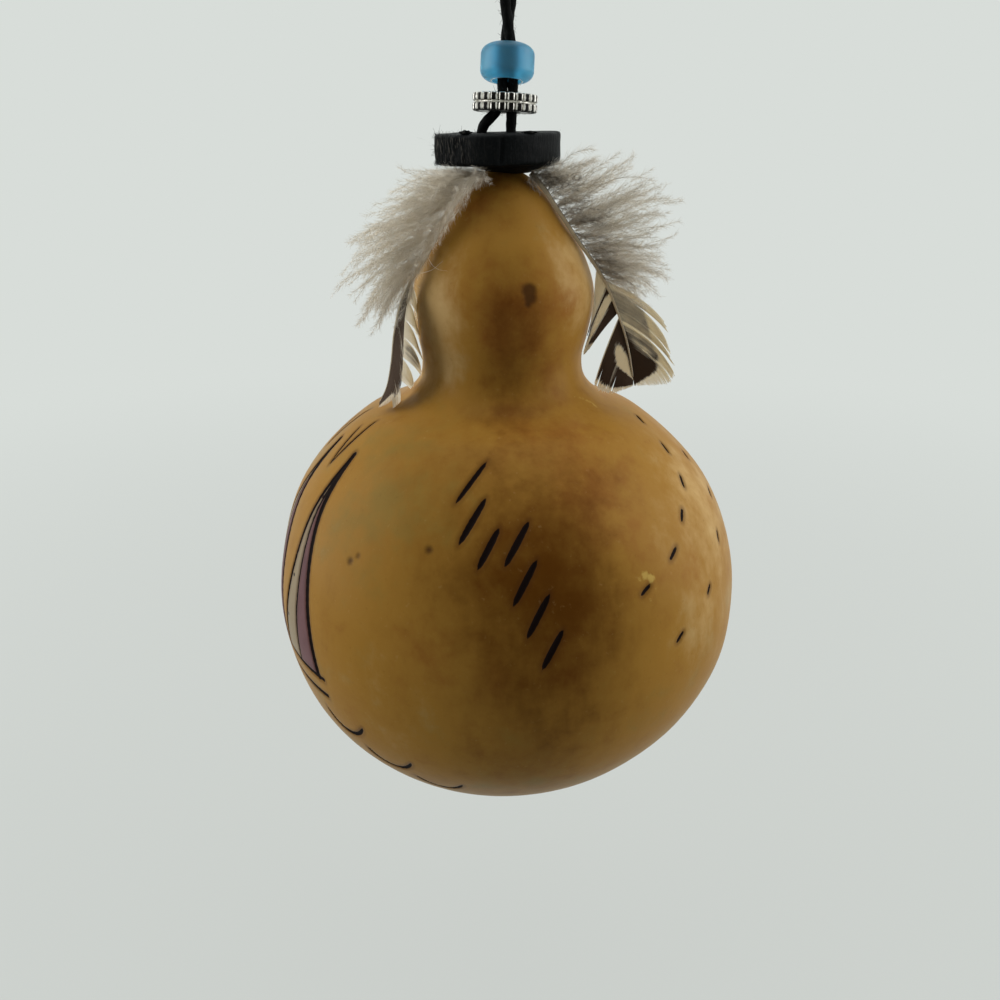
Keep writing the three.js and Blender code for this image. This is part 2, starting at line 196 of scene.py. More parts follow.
def tube(route: Array, sides: int, radius: Place) -> BMesh:
    """A closed tube along a route.

    Args:
        route: The middle line, one point for each ring.
        sides: Faces round it.
        radius: Gives the radius for arrays of the turn, 0 to 1, and the place along, 0 to 1.

    Returns:
        The new mesh.
    """
    side, up = carried_frames(route)
    steps = len(route) - 1

    def place(u: Array, w: Array) -> Array:
        """Puts points on their rings.

        Args:
            u: The turn round the route, 0 to 1.
            w: The place along it, 0 to 1.

        Returns:
            The points in millimetres.
        """
        ring = np.rint(w * steps).astype(int)
        angle = (2 * math.pi * u)[:, None]
        return route[ring] + (side[ring] * np.cos(angle) + up[ring] * np.sin(angle)) * radius(u, w)[:, None]

    bm = grid(sides, steps, place)
    bmesh.ops.remove_doubles(bm, verts=bm.verts, dist=MERGE_WITHIN)
    bmesh.ops.holes_fill(bm, edges=bm.edges, sides=sides)
    bmesh.ops.recalc_face_normals(bm, faces=bm.faces)
    return bm


def ribbons(middles: Array, sideways: Array) -> BMesh:
    """Narrow strips: each one is a column of a grid, and the columns between are removed.

    Args:
        middles: The middle line of each strip, strips by points by 3.
        sideways: From the middle line to the strip's edge, of the same shape.

    Returns:
        The new mesh, whose UV map has the strip across and the way along it upwards.
    """
    strips, points = middles.shape[:2]
    last = 2 * strips - 1
    bm = bmesh.new()
    layer = bm.loops.layers.uv.new("UVMap")
    bmesh.ops.create_grid(bm, x_segments=last, y_segments=points - 1, size=1, calc_uvs=True)
    flat = (np.array([v.co for v in bm.verts]) + 1) / 2
    gaps = [f for f in bm.faces if int((f.calc_center_median().x + 1) / 2 * last) % 2]
    column = np.rint(flat[:, 0] * last).astype(int)
    row = np.rint(flat[:, 1] * (points - 1)).astype(int)
    sign = np.where(column % 2, 1.0, -1.0)[:, None]
    for vert, point in zip(bm.verts, (middles[column // 2, row] + sideways[column // 2, row] * sign) * MM):
        vert.co = point
    bmesh.ops.delete(bm, geom=gaps, context="FACES")
    for face in bm.faces:
        for loop in face.loops:
            loop[layer].uv.x = (int(loop[layer].uv.x * last + 0.5) // 2 + 0.5) / strips
    return bm


def turned(profile: Sequence[Point], steps: int, closed: bool = True) -> BMesh:
    """A body spun round Z from an outline of radius and height.

    Args:
        profile: The outline's points in millimetres.
        steps: Faces round it.
        closed: Whether the outline's end is joined to its start, as a ring's is.

    Returns:
        The new mesh.
    """
    bm = bmesh.new()
    verts = [bm.verts.new(Vector((radius, 0, height)) * MM) for radius, height in profile]
    following = verts[1:] + verts[:1] if closed else verts[1:]
    edges = [bm.edges.new(pair) for pair in zip(verts, following)]
    bmesh.ops.spin(bm, geom=verts + edges, cent=(0, 0, 0), axis=(0, 0, 1), dvec=(0, 0, 0),
                   angle=2 * math.pi, steps=steps, use_merge=True, use_duplicate=False)
    bmesh.ops.remove_doubles(bm, verts=bm.verts, dist=MERGE_WITHIN)
    bmesh.ops.recalc_face_normals(bm, faces=bm.faces)
    return bm


def add_mesh(target: BMesh, extra: BMesh) -> None:
    """Puts a copy of one mesh into another.

    Args:
        target: The mesh that grows.
        extra: The mesh that is copied and then freed.
    """
    holder = bpy.data.meshes.new("holder")
    extra.to_mesh(holder)
    extra.free()
    target.from_mesh(holder)
    bpy.data.meshes.remove(holder)


def show(made: bpy.types.Object) -> None:
    """Links an object to the scene."""
    bpy.context.scene.collection.objects.link(made)


def mark(bm: BMesh, name: str, value: float) -> None:
    """Stores one number at every point of a mesh.

    Args:
        bm: The mesh.
        name: The attribute's name.
        value: The number.
    """
    layer = bm.verts.layers.float.new(name)
    for vert in bm.verts:
        vert[layer] = value


def piece(bm: BMesh, name: str, finish: Material, slot: Slot) -> bpy.types.Object:
    """Makes an object at the origin from a mesh and frees the mesh.

    Args:
        bm: The mesh, in metres.
        name: The piece's name.
        finish: Its material.
        slot: Not used.

    Returns:
        The new object.
    """
    for face in bm.faces:
        face.smooth = True
    mesh = bpy.data.meshes.new(name)
    bm.to_mesh(mesh)
    bm.free()
    mesh.materials.append(finish)
    made = bpy.data.objects.new(name, mesh)
    show(made)
    LOG.info("%s: %d faces", name, len(mesh.polygons))
    return made


# Shaders


@dataclass(frozen=True)
class Value:
    """A number socket whose arithmetic adds Math nodes."""

    surface: "Surface"
    socket: Socket

    def math(self, operation: str, *others: "Value | float") -> "Value":
        """One Math node on this value and the others."""
        inputs = {k + 1: other for k, other in enumerate(others)}
        return self.surface.node("ShaderNodeMath", {"operation": operation}, {0: self, **inputs})

    def __add__(self, other: "Value | float") -> "Value":
        """This plus other."""
        return self.math("ADD", other)

    def __sub__(self, other: "Value | float") -> "Value":
        """This minus other."""
        return self.math("SUBTRACT", other)

    def __rsub__(self, other: float) -> "Value":
        """Other minus this."""
        return self * -1.0 + other

    def __mul__(self, other: "Value | float") -> "Value":
        """This times other."""
        return self.math("MULTIPLY", other)

    def step(self, low: float, high: float) -> "Value":
        """0 at low, 1 at high and a soft step between; low may be the larger."""
        inputs = {0: self, 1: min(low, high), 2: max(low, high), 3: float(low > high), 4: float(low < high)}
        return self.surface.node("ShaderNodeMapRange", {"interpolation_type": "SMOOTHSTEP"}, inputs)

    __radd__ = __add__
    __rmul__ = __mul__


Colour = tuple[float, float, float]
Input = "Value | float | Colour | Socket"


def srgb(red: int, green: int, blue: int) -> Colour:
    """A colour as it looks on a screen, 0 to 255, as a linear one."""
    parts = [c / 255 for c in (red, green, blue)]
    return tuple(c / 12.92 if c <= 0.04045 else ((c + 0.055) / 1.055) ** 2.4 for c in parts)


def mix_shaders(tree: bpy.types.NodeTree, share: Socket,
                pair: tuple[bpy.types.Node, bpy.types.Node], end: bpy.types.Node) -> None:
    """Sends a mix of two shaders to an output node.

    Args:
        tree: The tree that holds the nodes.
        share: The share of the second shader.
        pair: The two shaders.
        end: The output node of the material or the world.
    """
    mixer = tree.nodes.new("ShaderNodeMixShader")
    sources = (share, *(shader.outputs[0] for shader in pair))
    for source, socket in zip(sources, mixer.inputs):
        tree.links.new(source, socket)
    tree.links.new(mixer.outputs[0], end.inputs["Surface"])


class Surface:
    """A node material with a Principled shader, and short ways to add nodes to it."""

    def __init__(self, name: str) -> None:
        """Makes the material, empty but for its output and shader.

        Args:
            name: The material's name.
        """
        self.material = bpy.data.materials.new(name)
        self.material.use_nodes = True
        self.tree = self.material.node_tree
        self.shader = self.tree.nodes["Principled BSDF"]
        self.output = self.tree.nodes["Material Output"]

    def link(self, value: Input, socket: Socket) -> None:
        """Links a value or socket, or sets a number or colour.

        Args:
            value: What the socket gets.
            socket: The input socket.
        """
        if isinstance(value, Value):
            self.tree.links.new(value.socket, socket)
        elif isinstance(value, Socket):
            self.tree.links.new(value, socket)
        elif isinstance(value, tuple) and socket.type == "RGBA":
            socket.default_value = (*value, 1.0)
        else:
            socket.default_value = value

    def node(self, kind: str, settings: dict, inputs: dict, output: int | str = 0) -> Value:
        """Adds one node.

        Args:
            kind: The node's type.
            settings: Its properties, set first.
            inputs: Its sockets by name or number, with a number, colour, value or socket.
            output: The output socket that is wanted.

        Returns:
            That output as a value.
        """
        made = self.tree.nodes.new(kind)
        for key, setting in settings.items():
            setattr(made, key, setting)
        for key, value in inputs.items():
            self.link(value, made.inputs[key])
        return Value(self, made.outputs[output])

    def place(self, scale: Point = (1, 1, 1)) -> Value:
        """Object coordinates in millimetres, scaled along each axis."""
        raw = self.tree.nodes.new("ShaderNodeTexCoord").outputs["Object"]
        return self.node("ShaderNodeMapping", {}, {"Vector": raw, "Scale": tuple(s / MM for s in scale)})

    def uv(self) -> tuple[Value, Value]:
        """The UV map.

        Returns:
            Its two numbers.
        """
        flat = self.node("ShaderNodeUVMap", {"uv_map": "UVMap"}, {})
        made = self.tree.nodes.new("ShaderNodeSeparateXYZ")
        self.link(flat, made.inputs[0])
        return Value(self, made.outputs[0]), Value(self, made.outputs[1])

    def noise(self, vector: Value, scale: float, detail: float = 3.0, rough: float = 0.5) -> Value:
        """Noise from 0 to 1; scale is in waves for each unit of the vector."""
        inputs = {"Vector": vector, "Scale": scale, "Detail": detail, "Roughness": rough}
        return self.node("ShaderNodeTexNoise", {}, inputs)

    def attribute(self, name: str) -> Value:
        """A number that the mesh holds at its points."""
        return self.node("ShaderNodeAttribute", {"attribute_name": name}, {}, "Fac")

    def mix(self, factor: Value, first: Input, second: Input) -> Socket:
        """Blends two colours.

        Args:
            factor: The share of the second colour.
            first: The colour where the factor is 0.
            second: The colour where the factor is 1.

        Returns:
            The socket of the blended colour.
        """
        made = self.tree.nodes.new("ShaderNodeMix")
        made.data_type = "RGBA"
        self.link(factor, made.inputs["Factor"])
        self.link(first, made.inputs[MIX_FIRST])
        self.link(second, made.inputs[MIX_SECOND])
        return made.outputs[MIX_RESULT]

    def bump(self, height: Value, distance: float) -> None:
        """Adds a Bump node to the shader; distance is in millimetres for a height of 1."""
        normal = self.node("ShaderNodeBump", {}, {"Height": height, "Distance": distance * MM})
        self.link(normal, self.shader.inputs["Normal"])

    def finish(self, colour: Input, roughness: Input, **constants: Input) -> Material:
        """Sets the shader's sockets.

        Args:
            colour: The base colour.
            roughness: The roughness.
            constants: Other sockets by their names, with underscores for spaces.

        Returns:
            The material.
        """
        self.link(colour, self.shader.inputs["Base Color"])
        self.link(roughness, self.shader.inputs["Roughness"])
        for key, value in constants.items():
            self.link(value, self.shader.inputs[key.replace("_", " ")])
        return self.material

    def let_light_through(self, share: Value, colour: Colour) -> None:
        """Mixes in a translucent shader, for thin pieces that glow when lit from behind.

        Args:
            share: How much light comes through.
            colour: The colour of that light.
        """
        glow = self.tree.nodes.new("ShaderNodeBsdfTranslucent")
        glow.inputs["Color"].default_value = (*colour, 1.0)
        mix_shaders(self.tree, share.socket, (self.shader, glow), self.output)


# Camera and studio


@dataclass(frozen=True)
class Viewpoint:
    """The camera: it stands in front, a little above the gourd's waist, and looks down."""

    position: Point = (-1.4, -166.0, -62.0)
    pitch: float = 20.68
    focal_px: float = 900.0
    sensor: float = 36.0
    clip_start: float = 5.0

    def make(self) -> None:
        """Adds the camera to the scene."""
        data = bpy.data.cameras.new("camera")
        data.sensor_width = self.sensor
        data.lens = self.sensor * self.focal_px / PHOTO_SIDE
        data.clip_start = self.clip_start * MM
        camera = bpy.data.objects.new("camera", data)
        camera.location = Vector(self.position) * MM
        camera.rotation_euler = (math.radians(90 - self.pitch), 0, 0)
        show(camera)
        bpy.context.scene.camera = camera

    def ray(self, pixel: Point) -> tuple[Vector, Vector]:
        """The line of sight through a pixel of the photo's frame.

        Args:
            pixel: The pixel, counted from the top left corner.

        Returns:
            The start in metres and the direction.
        """
        middle = PHOTO_SIDE / 2
        flat = Vector(((pixel[0] - middle) / self.focal_px, 1.0, (middle - pixel[1]) / self.focal_px))
        down = Matrix.Rotation(-math.radians(self.pitch), 3, "X")
        return Vector(self.position) * MM, (down @ flat).normalized()


@dataclass(frozen=True)
class Lamp:
    """A soft white rectangular lamp; its place and size are in metres."""

    name: str
    place: Point
    size: Point
    power: float

    def make(self, target: Vector) -> None:
        """Adds the lamp.

        Args:
            target: The point that it shines at, in metres.
        """
        data = bpy.data.lights.new(self.name, "AREA")
        data.shape = "RECTANGLE"
        data.size, data.size_y = self.size
        data.energy = self.power
        made = bpy.data.objects.new(self.name, data)
        made.location = self.place
        made.rotation_euler = (target - made.location).to_track_quat("-Z", "Y").to_euler()
        show(made)


@dataclass(frozen=True)
class Studio:
    """A pale floor under a pale sky, lit from both sides.

    The sky's light is weakest towards the viewer and grows between two values of Y. The floor
    shows the sky's colour far off: the share of it grows between two distances.
    """

    floor_z: float = -236.0
    floor_radius: float = 6.0
    pale: Colour = srgb(216, 221, 217)
    floor_colour: Colour = srgb(166, 169, 164)
    floor_roughness: float = 0.9
    floor_steps: int = 96
    fade: tuple[float, float] = (100.0, 700.0)
    fade_change: float = 0.28
    aim: Point = (0.0, 0.0, -0.12)
    sky_power: float = 0.7
    front_dim: float = 0.88
    dim_between: tuple[float, float] = (-1.0, 0.5)
    lamps: tuple[Lamp, ...] = (
        Lamp("lamp_left", (-0.62, 0.0, 0.08), (0.5, 0.7), 3.0),
        Lamp("lamp_right", (0.60, -0.02, 0.10), (0.5, 0.7), 3.0),
        Lamp("lamp_top", (0.0, 0.1, 0.55), (0.7, 0.5), 1.4),
    )

    def seen_directly(self, tree: bpy.types.NodeTree) -> Socket:
        """Tells what is seen from what only lights the object.

        Args:
            tree: The tree that gets the nodes.

        Returns:
            A socket that is 1 for the camera's rays and for those that gloss and glass send on.
        """
        path = tree.nodes.new("ShaderNodeLightPath")
        total = path.outputs["Is Camera Ray"]
        for name in ("Is Glossy Ray", "Is Transmission Ray"):
            either = tree.nodes.new("ShaderNodeMath")
            either.operation = "MAXIMUM"
            tree.links.new(total, either.inputs[0])
            tree.links.new(path.outputs[name], either.inputs[1])
            total = either.outputs[0]
        return total

    def make_sky(self) -> None:
        """The world: pale where it is seen, and for soft light dimmer on the viewer's side."""
        world = bpy.data.worlds.new("sky")
        bpy.context.scene.world = world
        world.use_nodes = True
        tree = world.node_tree
        seen = tree.nodes["Background"]
        seen.inputs["Color"].default_value = (*self.pale, 1.0)
        light = tree.nodes.new("ShaderNodeBackground")
        way = tree.nodes.new("ShaderNodeTexCoord")
        parts = tree.nodes.new("ShaderNodeSeparateXYZ")
        front = tree.nodes.new("ShaderNodeMapRange")
        limits = (*self.dim_between, self.sky_power * (1 - self.front_dim), self.sky_power)
        for socket, limit in zip(("From Min", "From Max", "To Min", "To Max"), limits):
            front.inputs[socket].default_value = limit
        tree.links.new(way.outputs["Generated"], parts.inputs[0])
        tree.links.new(parts.outputs["Y"], front.inputs["Value"])
        tree.links.new(front.outputs[0], light.inputs["Strength"])
        mix_shaders(tree, self.seen_directly(tree), (light, seen), tree.nodes["World Output"])

    def make_floor(self) -> None:
        """A wide disc that keeps the shadow near the gourd and fades into the sky far off."""
        surface = Surface("floor")
        tree = surface.tree
        far = surface.node("ShaderNodeVectorMath", {"operation": "LENGTH"}, {0: surface.place()}, "Value")
        share = far.step(*self.fade) * self.fade_change + (1 - self.fade_change)
        direct = Value(surface, self.seen_directly(tree))
        glow = tree.nodes.new("ShaderNodeEmission")
        glow.inputs["Color"].default_value = (*self.pale, 1.0)
        surface.finish(self.floor_colour, self.floor_roughness, Specular_IOR_Level=0.0)
        mix_shaders(tree, (share * direct).socket, (surface.shader, glow), surface.output)
        bm = bmesh.new()
        bmesh.ops.create_circle(bm, cap_ends=True, segments=self.floor_steps, radius=self.floor_radius)
        bmesh.ops.translate(bm, verts=bm.verts, vec=(0, 0, self.floor_z * MM))
        mesh = bpy.data.meshes.new("floor")
        bm.to_mesh(mesh)
        bm.free()
        mesh.materials.append(surface.material)
        floor = bpy.data.objects.new("floor", mesh)
        show(floor)

    def make(self) -> None:
        """Adds the sky, the floor and the lamps."""
        bpy.context.scene.view_settings.view_transform = "Standard"
        self.make_sky()
        self.make_floor()
        for lamp in self.lamps:
            lamp.make(Vector(self.aim))


# Cord


@dataclass(frozen=True)
class WaxedCord:
    """Black waxed cord: dull, with fine fibres that follow its plies."""

    dark: Colour = srgb(4, 5, 5)
    light: Colour = srgb(46, 47, 46)
    roughness: float = 0.55
    waves_round: float = 9.0
    waves_aslant: float = 26.0
    waves_along: float = 20.0

    def make(self) -> Material:
        """Builds the material, on the cord's own UV map.

        Returns:
            The material.
        """
        surface = Surface("waxed_cord")
        around, along = surface.uv()
        slant = around * self.waves_round + along * self.waves_aslant
        flow = surface.node("ShaderNodeCombineXYZ", {}, {0: slant, 1: along * self.waves_along})
        fibres = surface.noise(flow, 3.0, 4.0, 0.65)
        dust = surface.noise(surface.place(), 0.9, 2.0)
        colour = surface.mix(fibres.step(0.48, 0.8) * dust.step(0.35, 0.75), self.dark, self.light)
        surface.bump(fibres, 0.12)
        return surface.finish(colour, self.roughness, Specular_IOR_Level=0.035)


@dataclass
class PliedCord:
    """One length of three-ply cord along a route, with loose fibres on it.

    Swell and ripple each hold a share of the radius and how far their wave turns in a
    millimetre. A hair's length is drawn between two limits and then cut to a share of it.
    """

    name: str
    route: Array
    diameter: float = 1.8
    plies: int = 3
    lay: float = 9.0
    groove: float = 0.1
    step: float = 0.3
    sides: int = 30
    swell: Point = (0.02, 1.7)
    ripple: Point = (0.015, 4.1)
    hairs_for_each_mm: float = 7.0
    hair_length: tuple[float, float] = (0.5, 2.2)
    hair_cut: float = 0.3
    hair_lean: float = 1.2
    hair_curl: float = 0.8
    hair_width: float = 0.03
    hair_points: int = 5
    seed: int = 1

    @property
    def length(self) -> float:
        """The cord's length in millimetres."""
        return float(length_along(self.route)[-1])

    def hairs(self, route: Array) -> BMesh:
        """Loose fibres that leave the surface and curl.

        Args:
            route: The cord's middle line.

        Returns:
            A mesh of narrow strips.
        """
        rng = np.random.default_rng(self.seed)
        count = max(4, int(self.length * self.hairs_for_each_mm))
        ring = rng.integers(1, len(route) - 1, count)
        side, up = carried_frames(route)
        turn = rng.uniform(0, 2 * math.pi, count)[:, None]
        out = side[ring] * np.cos(turn) + up[ring] * np.sin(turn)
        along = unit(route[ring + 1] - route[ring - 1])
        reach = rng.uniform(*self.hair_length, count)[:, None] * rng.uniform(self.hair_cut, 1, count)[:, None]
        start = route[ring] + out * self.diameter * 0.44
        lean = along * rng.uniform(-self.hair_lean, self.hair_lean, count)[:, None]
        curl = unit(np.cross(out, along)) * rng.uniform(-self.hair_curl, self.hair_curl, count)[:, None]
        t = shares(self.hair_points)
        middles = start[:, None] + reach[:, None] * (out[:, None] * t * (1.25 - 0.6 * t) * 0.75
                                                    + lean[:, None] * t * 0.8 + curl[:, None] * t**2)
        width = self.hair_width * (1 - TIP_TAPER * t)
        sideways = unit(rng.normal(size=(count, 1, 3))) * width
        return ribbons(middles, np.broadcast_to(sideways, middles.shape))

    def make(self, finish: Material) -> bpy.types.Object:
        """The cord as one mesh.

        Args:
            finish: The cord's material.

        Returns:
            The new piece.
        """
        route = even(self.route, max(8, int(self.length / self.step)))
        total = self.length

        def radius(u: Array, w: Array) -> Array:
            """The lobed section, turned as the plies are.

            Args:
                u: The turn round the route, 0 to 1.
                w: The place along it, 0 to 1.

            Returns:
                The radius in millimetres.
            """
            ply = np.abs(np.cos(math.pi * self.plies * (u - w * total / self.lay)))
            uneven = self.swell[0] * np.sin(w * total * self.swell[1] + self.seed)
            uneven = uneven + self.ripple[0] * np.sin(w * total * self.ripple[1])
            return self.diameter / 2 * (1 - self.groove * (1 - ply) ** 1.5 + uneven)

        bm = tube(route, self.sides, radius)
        add_mesh(bm, self.hairs(route))
        return piece(bm, self.name, finish, Slot.CORD)

    def path(self) -> Array:
        """The route in metres, close enough together to have its length."""
        return even(self.route, int(self.length)) * MM


@dataclass
class Cordage:
    """The doubled cord: hanging loop, knot, twisted pair, two strands and the inner knot.
    """

    diameter: float = 1.8
    pair_x: float = -0.1
    strand_offset: float = 0.88
    twist_pitch: float = 36.0
    straight_z: float = -50.0
    knot_z: float = -27.0
    knot_radius: float = 3.4
    split_z: float = -46.7
    stopper: Point = (-1.1, 0.0, -75.0)
    stopper_radius: float = 4.2
    pair_top_z: float = -28.6
    held_top: float = 2.4
    held_low: float = 0.2
    pair_points: int = 15
    strand_steps: int = 240
    loop_steps: int = 300
    knot_steps: int = 180
    knot_turn: float = 0.4
    stopper_turn: float = 1.2
    loop_half: tuple[Point, ...] = (
        (-0.95, 0, -25.6), (-0.95, 0, -23.3), (-1.0, 0, -21.6), (-1.8, 0, -19.4), (-3.2, 0, -16.6),
        (-4.8, 0, -13.2), (-6.0, 0, -9.4), (-6.3, 0, -5.8), (-5.6, 0, -2.6), (-4.0, 0, -0.4), (-2.0, 0, 0.6),
    )
    left_low: tuple[Point, ...] = (
        (-0.98, 0, -51.8), (-1.28, 0, -53.0), (-1.95, 0, -54.1), (-2.8, 0, -55.0), (-3.6, 0, -55.8),
        (-4.3, 0, -56.7), (-4.6, 0, -57.8), (-4.5, 0, -59.2), (-4.0, 0, -60.8), (-3.4, 0, -62.3),
        (-3.0, 0, -64.0), (-2.9, 0, -66.0), (-2.7, 0, -68.0), (-2.3, 0, -70.2), (-1.8, 0, -72.2),
    )
    right_low: tuple[Point, ...] = (
        (0.78, 0, -51.8), (0.7, 0, -53.2), (0.55, 0, -54.6), (0.5, 0, -56.0), (0.5, 0, -58.0),
        (0.5, 0, -60.0), (0.5, 0, -62.0), (0.5, 0, -64.0), (0.45, 0, -66.0), (0.3, 0, -68.0),
        (0.1, 0, -70.2), (-0.3, 0, -72.2),
    )

    def strand_at(self, side: int, z: float) -> Point:
        """A strand's place in the twisted pair.

        Args:
            side: 1 for the strand that ends on the right and -1 for the other.
            z: The height.

        Returns:
            The point.
        """
        turn = 2 * math.pi * max(0.0, z - self.straight_z) / self.twist_pitch
        across = side * self.strand_offset
        return (self.pair_x + across * math.cos(turn), -across * math.sin(turn), z)

    def strand_route(self, side: int) -> Array:
        """A strand from the knot down through the beads and the disc to the knot inside.

        Args:
            side: 1 for the strand that ends on the right and -1 for the other.

        Returns:
            The route's points.
        """
        heights = np.linspace(self.pair_top_z, self.straight_z, self.pair_points)
        low = self.right_low if side > 0 else self.left_low
        return curve_through([*(self.strand_at(side, z) for z in heights), *low], self.strand_steps)

    def loop_route(self) -> Array:
        """The loop from the knot over its crown and back."""
        mirrored = [(-x, y, z) for x, y, z in reversed(self.loop_half)]
        return curve_through([*self.loop_half, (0, 0, self.diameter / 2), *mirrored], self.loop_steps)

    def knot_route(self, centre: Point, radius: float, turn: float) -> Array:
        """A knot's closed route, wound round an upright axis.

        Args:
            centre: The knot's middle.
            radius: How far the cord's surface reaches from it.
            turn: How far the knot is turned about its axis, in radians.

        Returns:
            The route's points.
        """
        t = np.linspace(0, 2 * math.pi, self.knot_steps + 1)
        wide = (radius - self.diameter / 2) / 2.6
        across = wide * (1.55 + 1.05 * np.cos(3 * t))
        height = (radius - self.diameter / 2) * 0.92 * np.sin(3 * t)
        flat = np.column_stack([across * np.cos(2 * t + turn), across * np.sin(2 * t + turn), height])
        return flat + np.asarray(centre, float)

    def make(self, finish: Material) -> None:
        """Adds every piece of the cord.

        Args:
            finish: The cord's material.
        """
        loop = PliedCord("cord_loop", self.loop_route(), seed=3)
        looped = loop.make(finish)
        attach(looped, "loop")
        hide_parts("hanging_loop")
        knot_route = self.knot_route((0, 0, self.knot_z), self.knot_radius, self.knot_turn)
        knot = PliedCord("loop_knot_tied", knot_route, seed=5, hairs_for_each_mm=3)
        knotted = knot.make(finish)
        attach(knotted, "knot")
        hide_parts("loop_knot")
        loop.path()[0]
        loop.length * MM
        loop.path()
        stopper_route = self.knot_route(self.stopper, self.stopper_radius, self.stopper_turn)
        stopper = PliedCord("stopper_knot_tied", stopper_route, seed=7, hairs_for_each_mm=1)
        stopped = stopper.make(finish)
        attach(stopped, "gourd")
        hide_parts("stopper_knot")
        for name, side in (("left", -1), ("right", 1)):
            strand = PliedCord(f"cord_strand_{name}", self.strand_route(side), seed=11 + side)
            made = strand.make(finish)
            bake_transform(made)
            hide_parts(f"pair_{name}", f"strand_{name}")
            strand.path()[-1]
            strand.length * MM
            strand.path()[::-1]


# Gourd


@dataclass(frozen=True)
class Stroke:
    """A burnt line, pointed at both ends unless it is even all along."""

    points: tuple[Point, ...]
    width: float
    even: bool = False


@dataclass(frozen=True)
class Blotch:
    """A soft patch round the point seen at a pixel; some are patches of the dye and some painted light.

    Dark is 1 for the deepest brown and below 0 for a paler patch; warm is above 0 for a
    russet patch and below 0 for an olive one. The dark ones down the front middle are dye with a
    painted reflection of a dark surround, the one under the disc is painted shade, and most pale
    ones are painted highlights and sheen.
    """

    pixel: Point
    radius: float
    dark: float = 0.0
    warm: float = 0.0


@dataclass(frozen=True)
class GourdSkin:
    """Golden brown dye over mottled skin with painted shade, reflection and highlights in its patches, burnt
    marks and a satin varnish.
    """

    golden: Colour = srgb(163, 120, 50)
    olive: Colour = srgb(142, 114, 52)
    russet: Colour = srgb(150, 94, 40)
    umber_dye_and_shade: Colour = srgb(85, 48, 5)
    pale: Colour = srgb(202, 168, 112)
    burnt: Colour = srgb(20, 11, 9)
    scorch: Colour = srgb(78, 44, 18)
    plum: Colour = srgb(116, 82, 84)
    dark_plum: Colour = srgb(94, 66, 70)
    stone: Colour = srgb(152, 136, 110)
    scar: Colour = srgb(66, 42, 22)
    chip: Colour = srgb(196, 164, 84)

    def make(self) -> Material:
        """Builds the material; the marks come from numbers that the mesh holds.

        Returns:
            The material.
        """
        s = Surface("gourd_skin")
        where = s.place()
        broad = s.noise(where, 0.03, 4.0, 0.6)
        middling = s.noise(where, 0.1, 5.0, 0.62)
        cloudy = s.noise(where, 0.2, 5.0, 0.6)
        streaky = s.noise(s.place(scale=(1, 1, 0.3)), 0.34, 4.0, 0.6)
        fine = s.noise(where, 1.1, 4.0, 0.6)
        warm = s.attribute("warm") + (middling - 0.5) * 1.3 + (cloudy - 0.5) * 0.4
        dark = s.attribute("dark") + (broad - 0.5) * 0.5 + (streaky - 0.5) * 0.4 + (cloudy - 0.5) * 0.45
        dark = dark + (middling - 0.5) * 0.5
        colour = s.mix(warm.step(0.0, -0.55), self.golden, self.olive)
        colour = s.mix(warm.step(0.05, 0.85), colour, self.russet)
        # Pale patches: mostly painted highlight and sheen.
        colour = s.mix(dark.step(-0.05, -0.75), colour, self.pale)
        # Dark patches: dye together with painted reflection and painted shade.
        colour = s.mix(dark.step(-0.1, 1.2) * 0.95, colour, self.umber_dye_and_shade)
        colour = s.mix(fine.step(0.6, 0.8) * 0.22, colour, self.umber_dye_and_shade)
        colour = s.mix(fine.step(0.38, 0.25) * 0.12, colour, self.pale)
        dots = s.node("ShaderNodeTexVoronoi", {"feature": "F1"}, {"Vector": where, "Scale": 0.42}, "Distance")
        stone = s.mix(dots.step(0.17, 0.12), self.stone, self.burnt)
        colour = s.mix(s.attribute("stone").step(0.1, -0.1), colour, stone)
        plum = s.mix(middling.step(0.35, 0.7), self.plum, self.dark_plum)
        colour = s.mix(s.attribute("plum").step(0.1, -0.1), colour, plum)
        rough_edge = (fine - 0.5) * 0.5
        burn = s.attribute("burn") + rough_edge * 0.4
        colour = s.mix(burn.step(1.0, 0.0) * 0.45, colour, self.scorch)
        colour = s.mix(burn.step(0.07, -0.09), colour, self.burnt)
        colour = s.mix((s.attribute("scar") + rough_edge).step(0.5, -0.5) * 0.8, colour, self.scar)
        colour = s.mix((s.attribute("chip") + rough_edge * 2.4).step(0.25, -0.3) * 0.85, colour, self.chip)
        rough = burn.step(0.05, -0.1) * 0.3 + middling * 0.12 + 0.3
        s.bump(middling * 0.55 + streaky * 0.25 + fine * 0.05, 0.11)
        return s.finish(colour, rough, IOR=1.12)


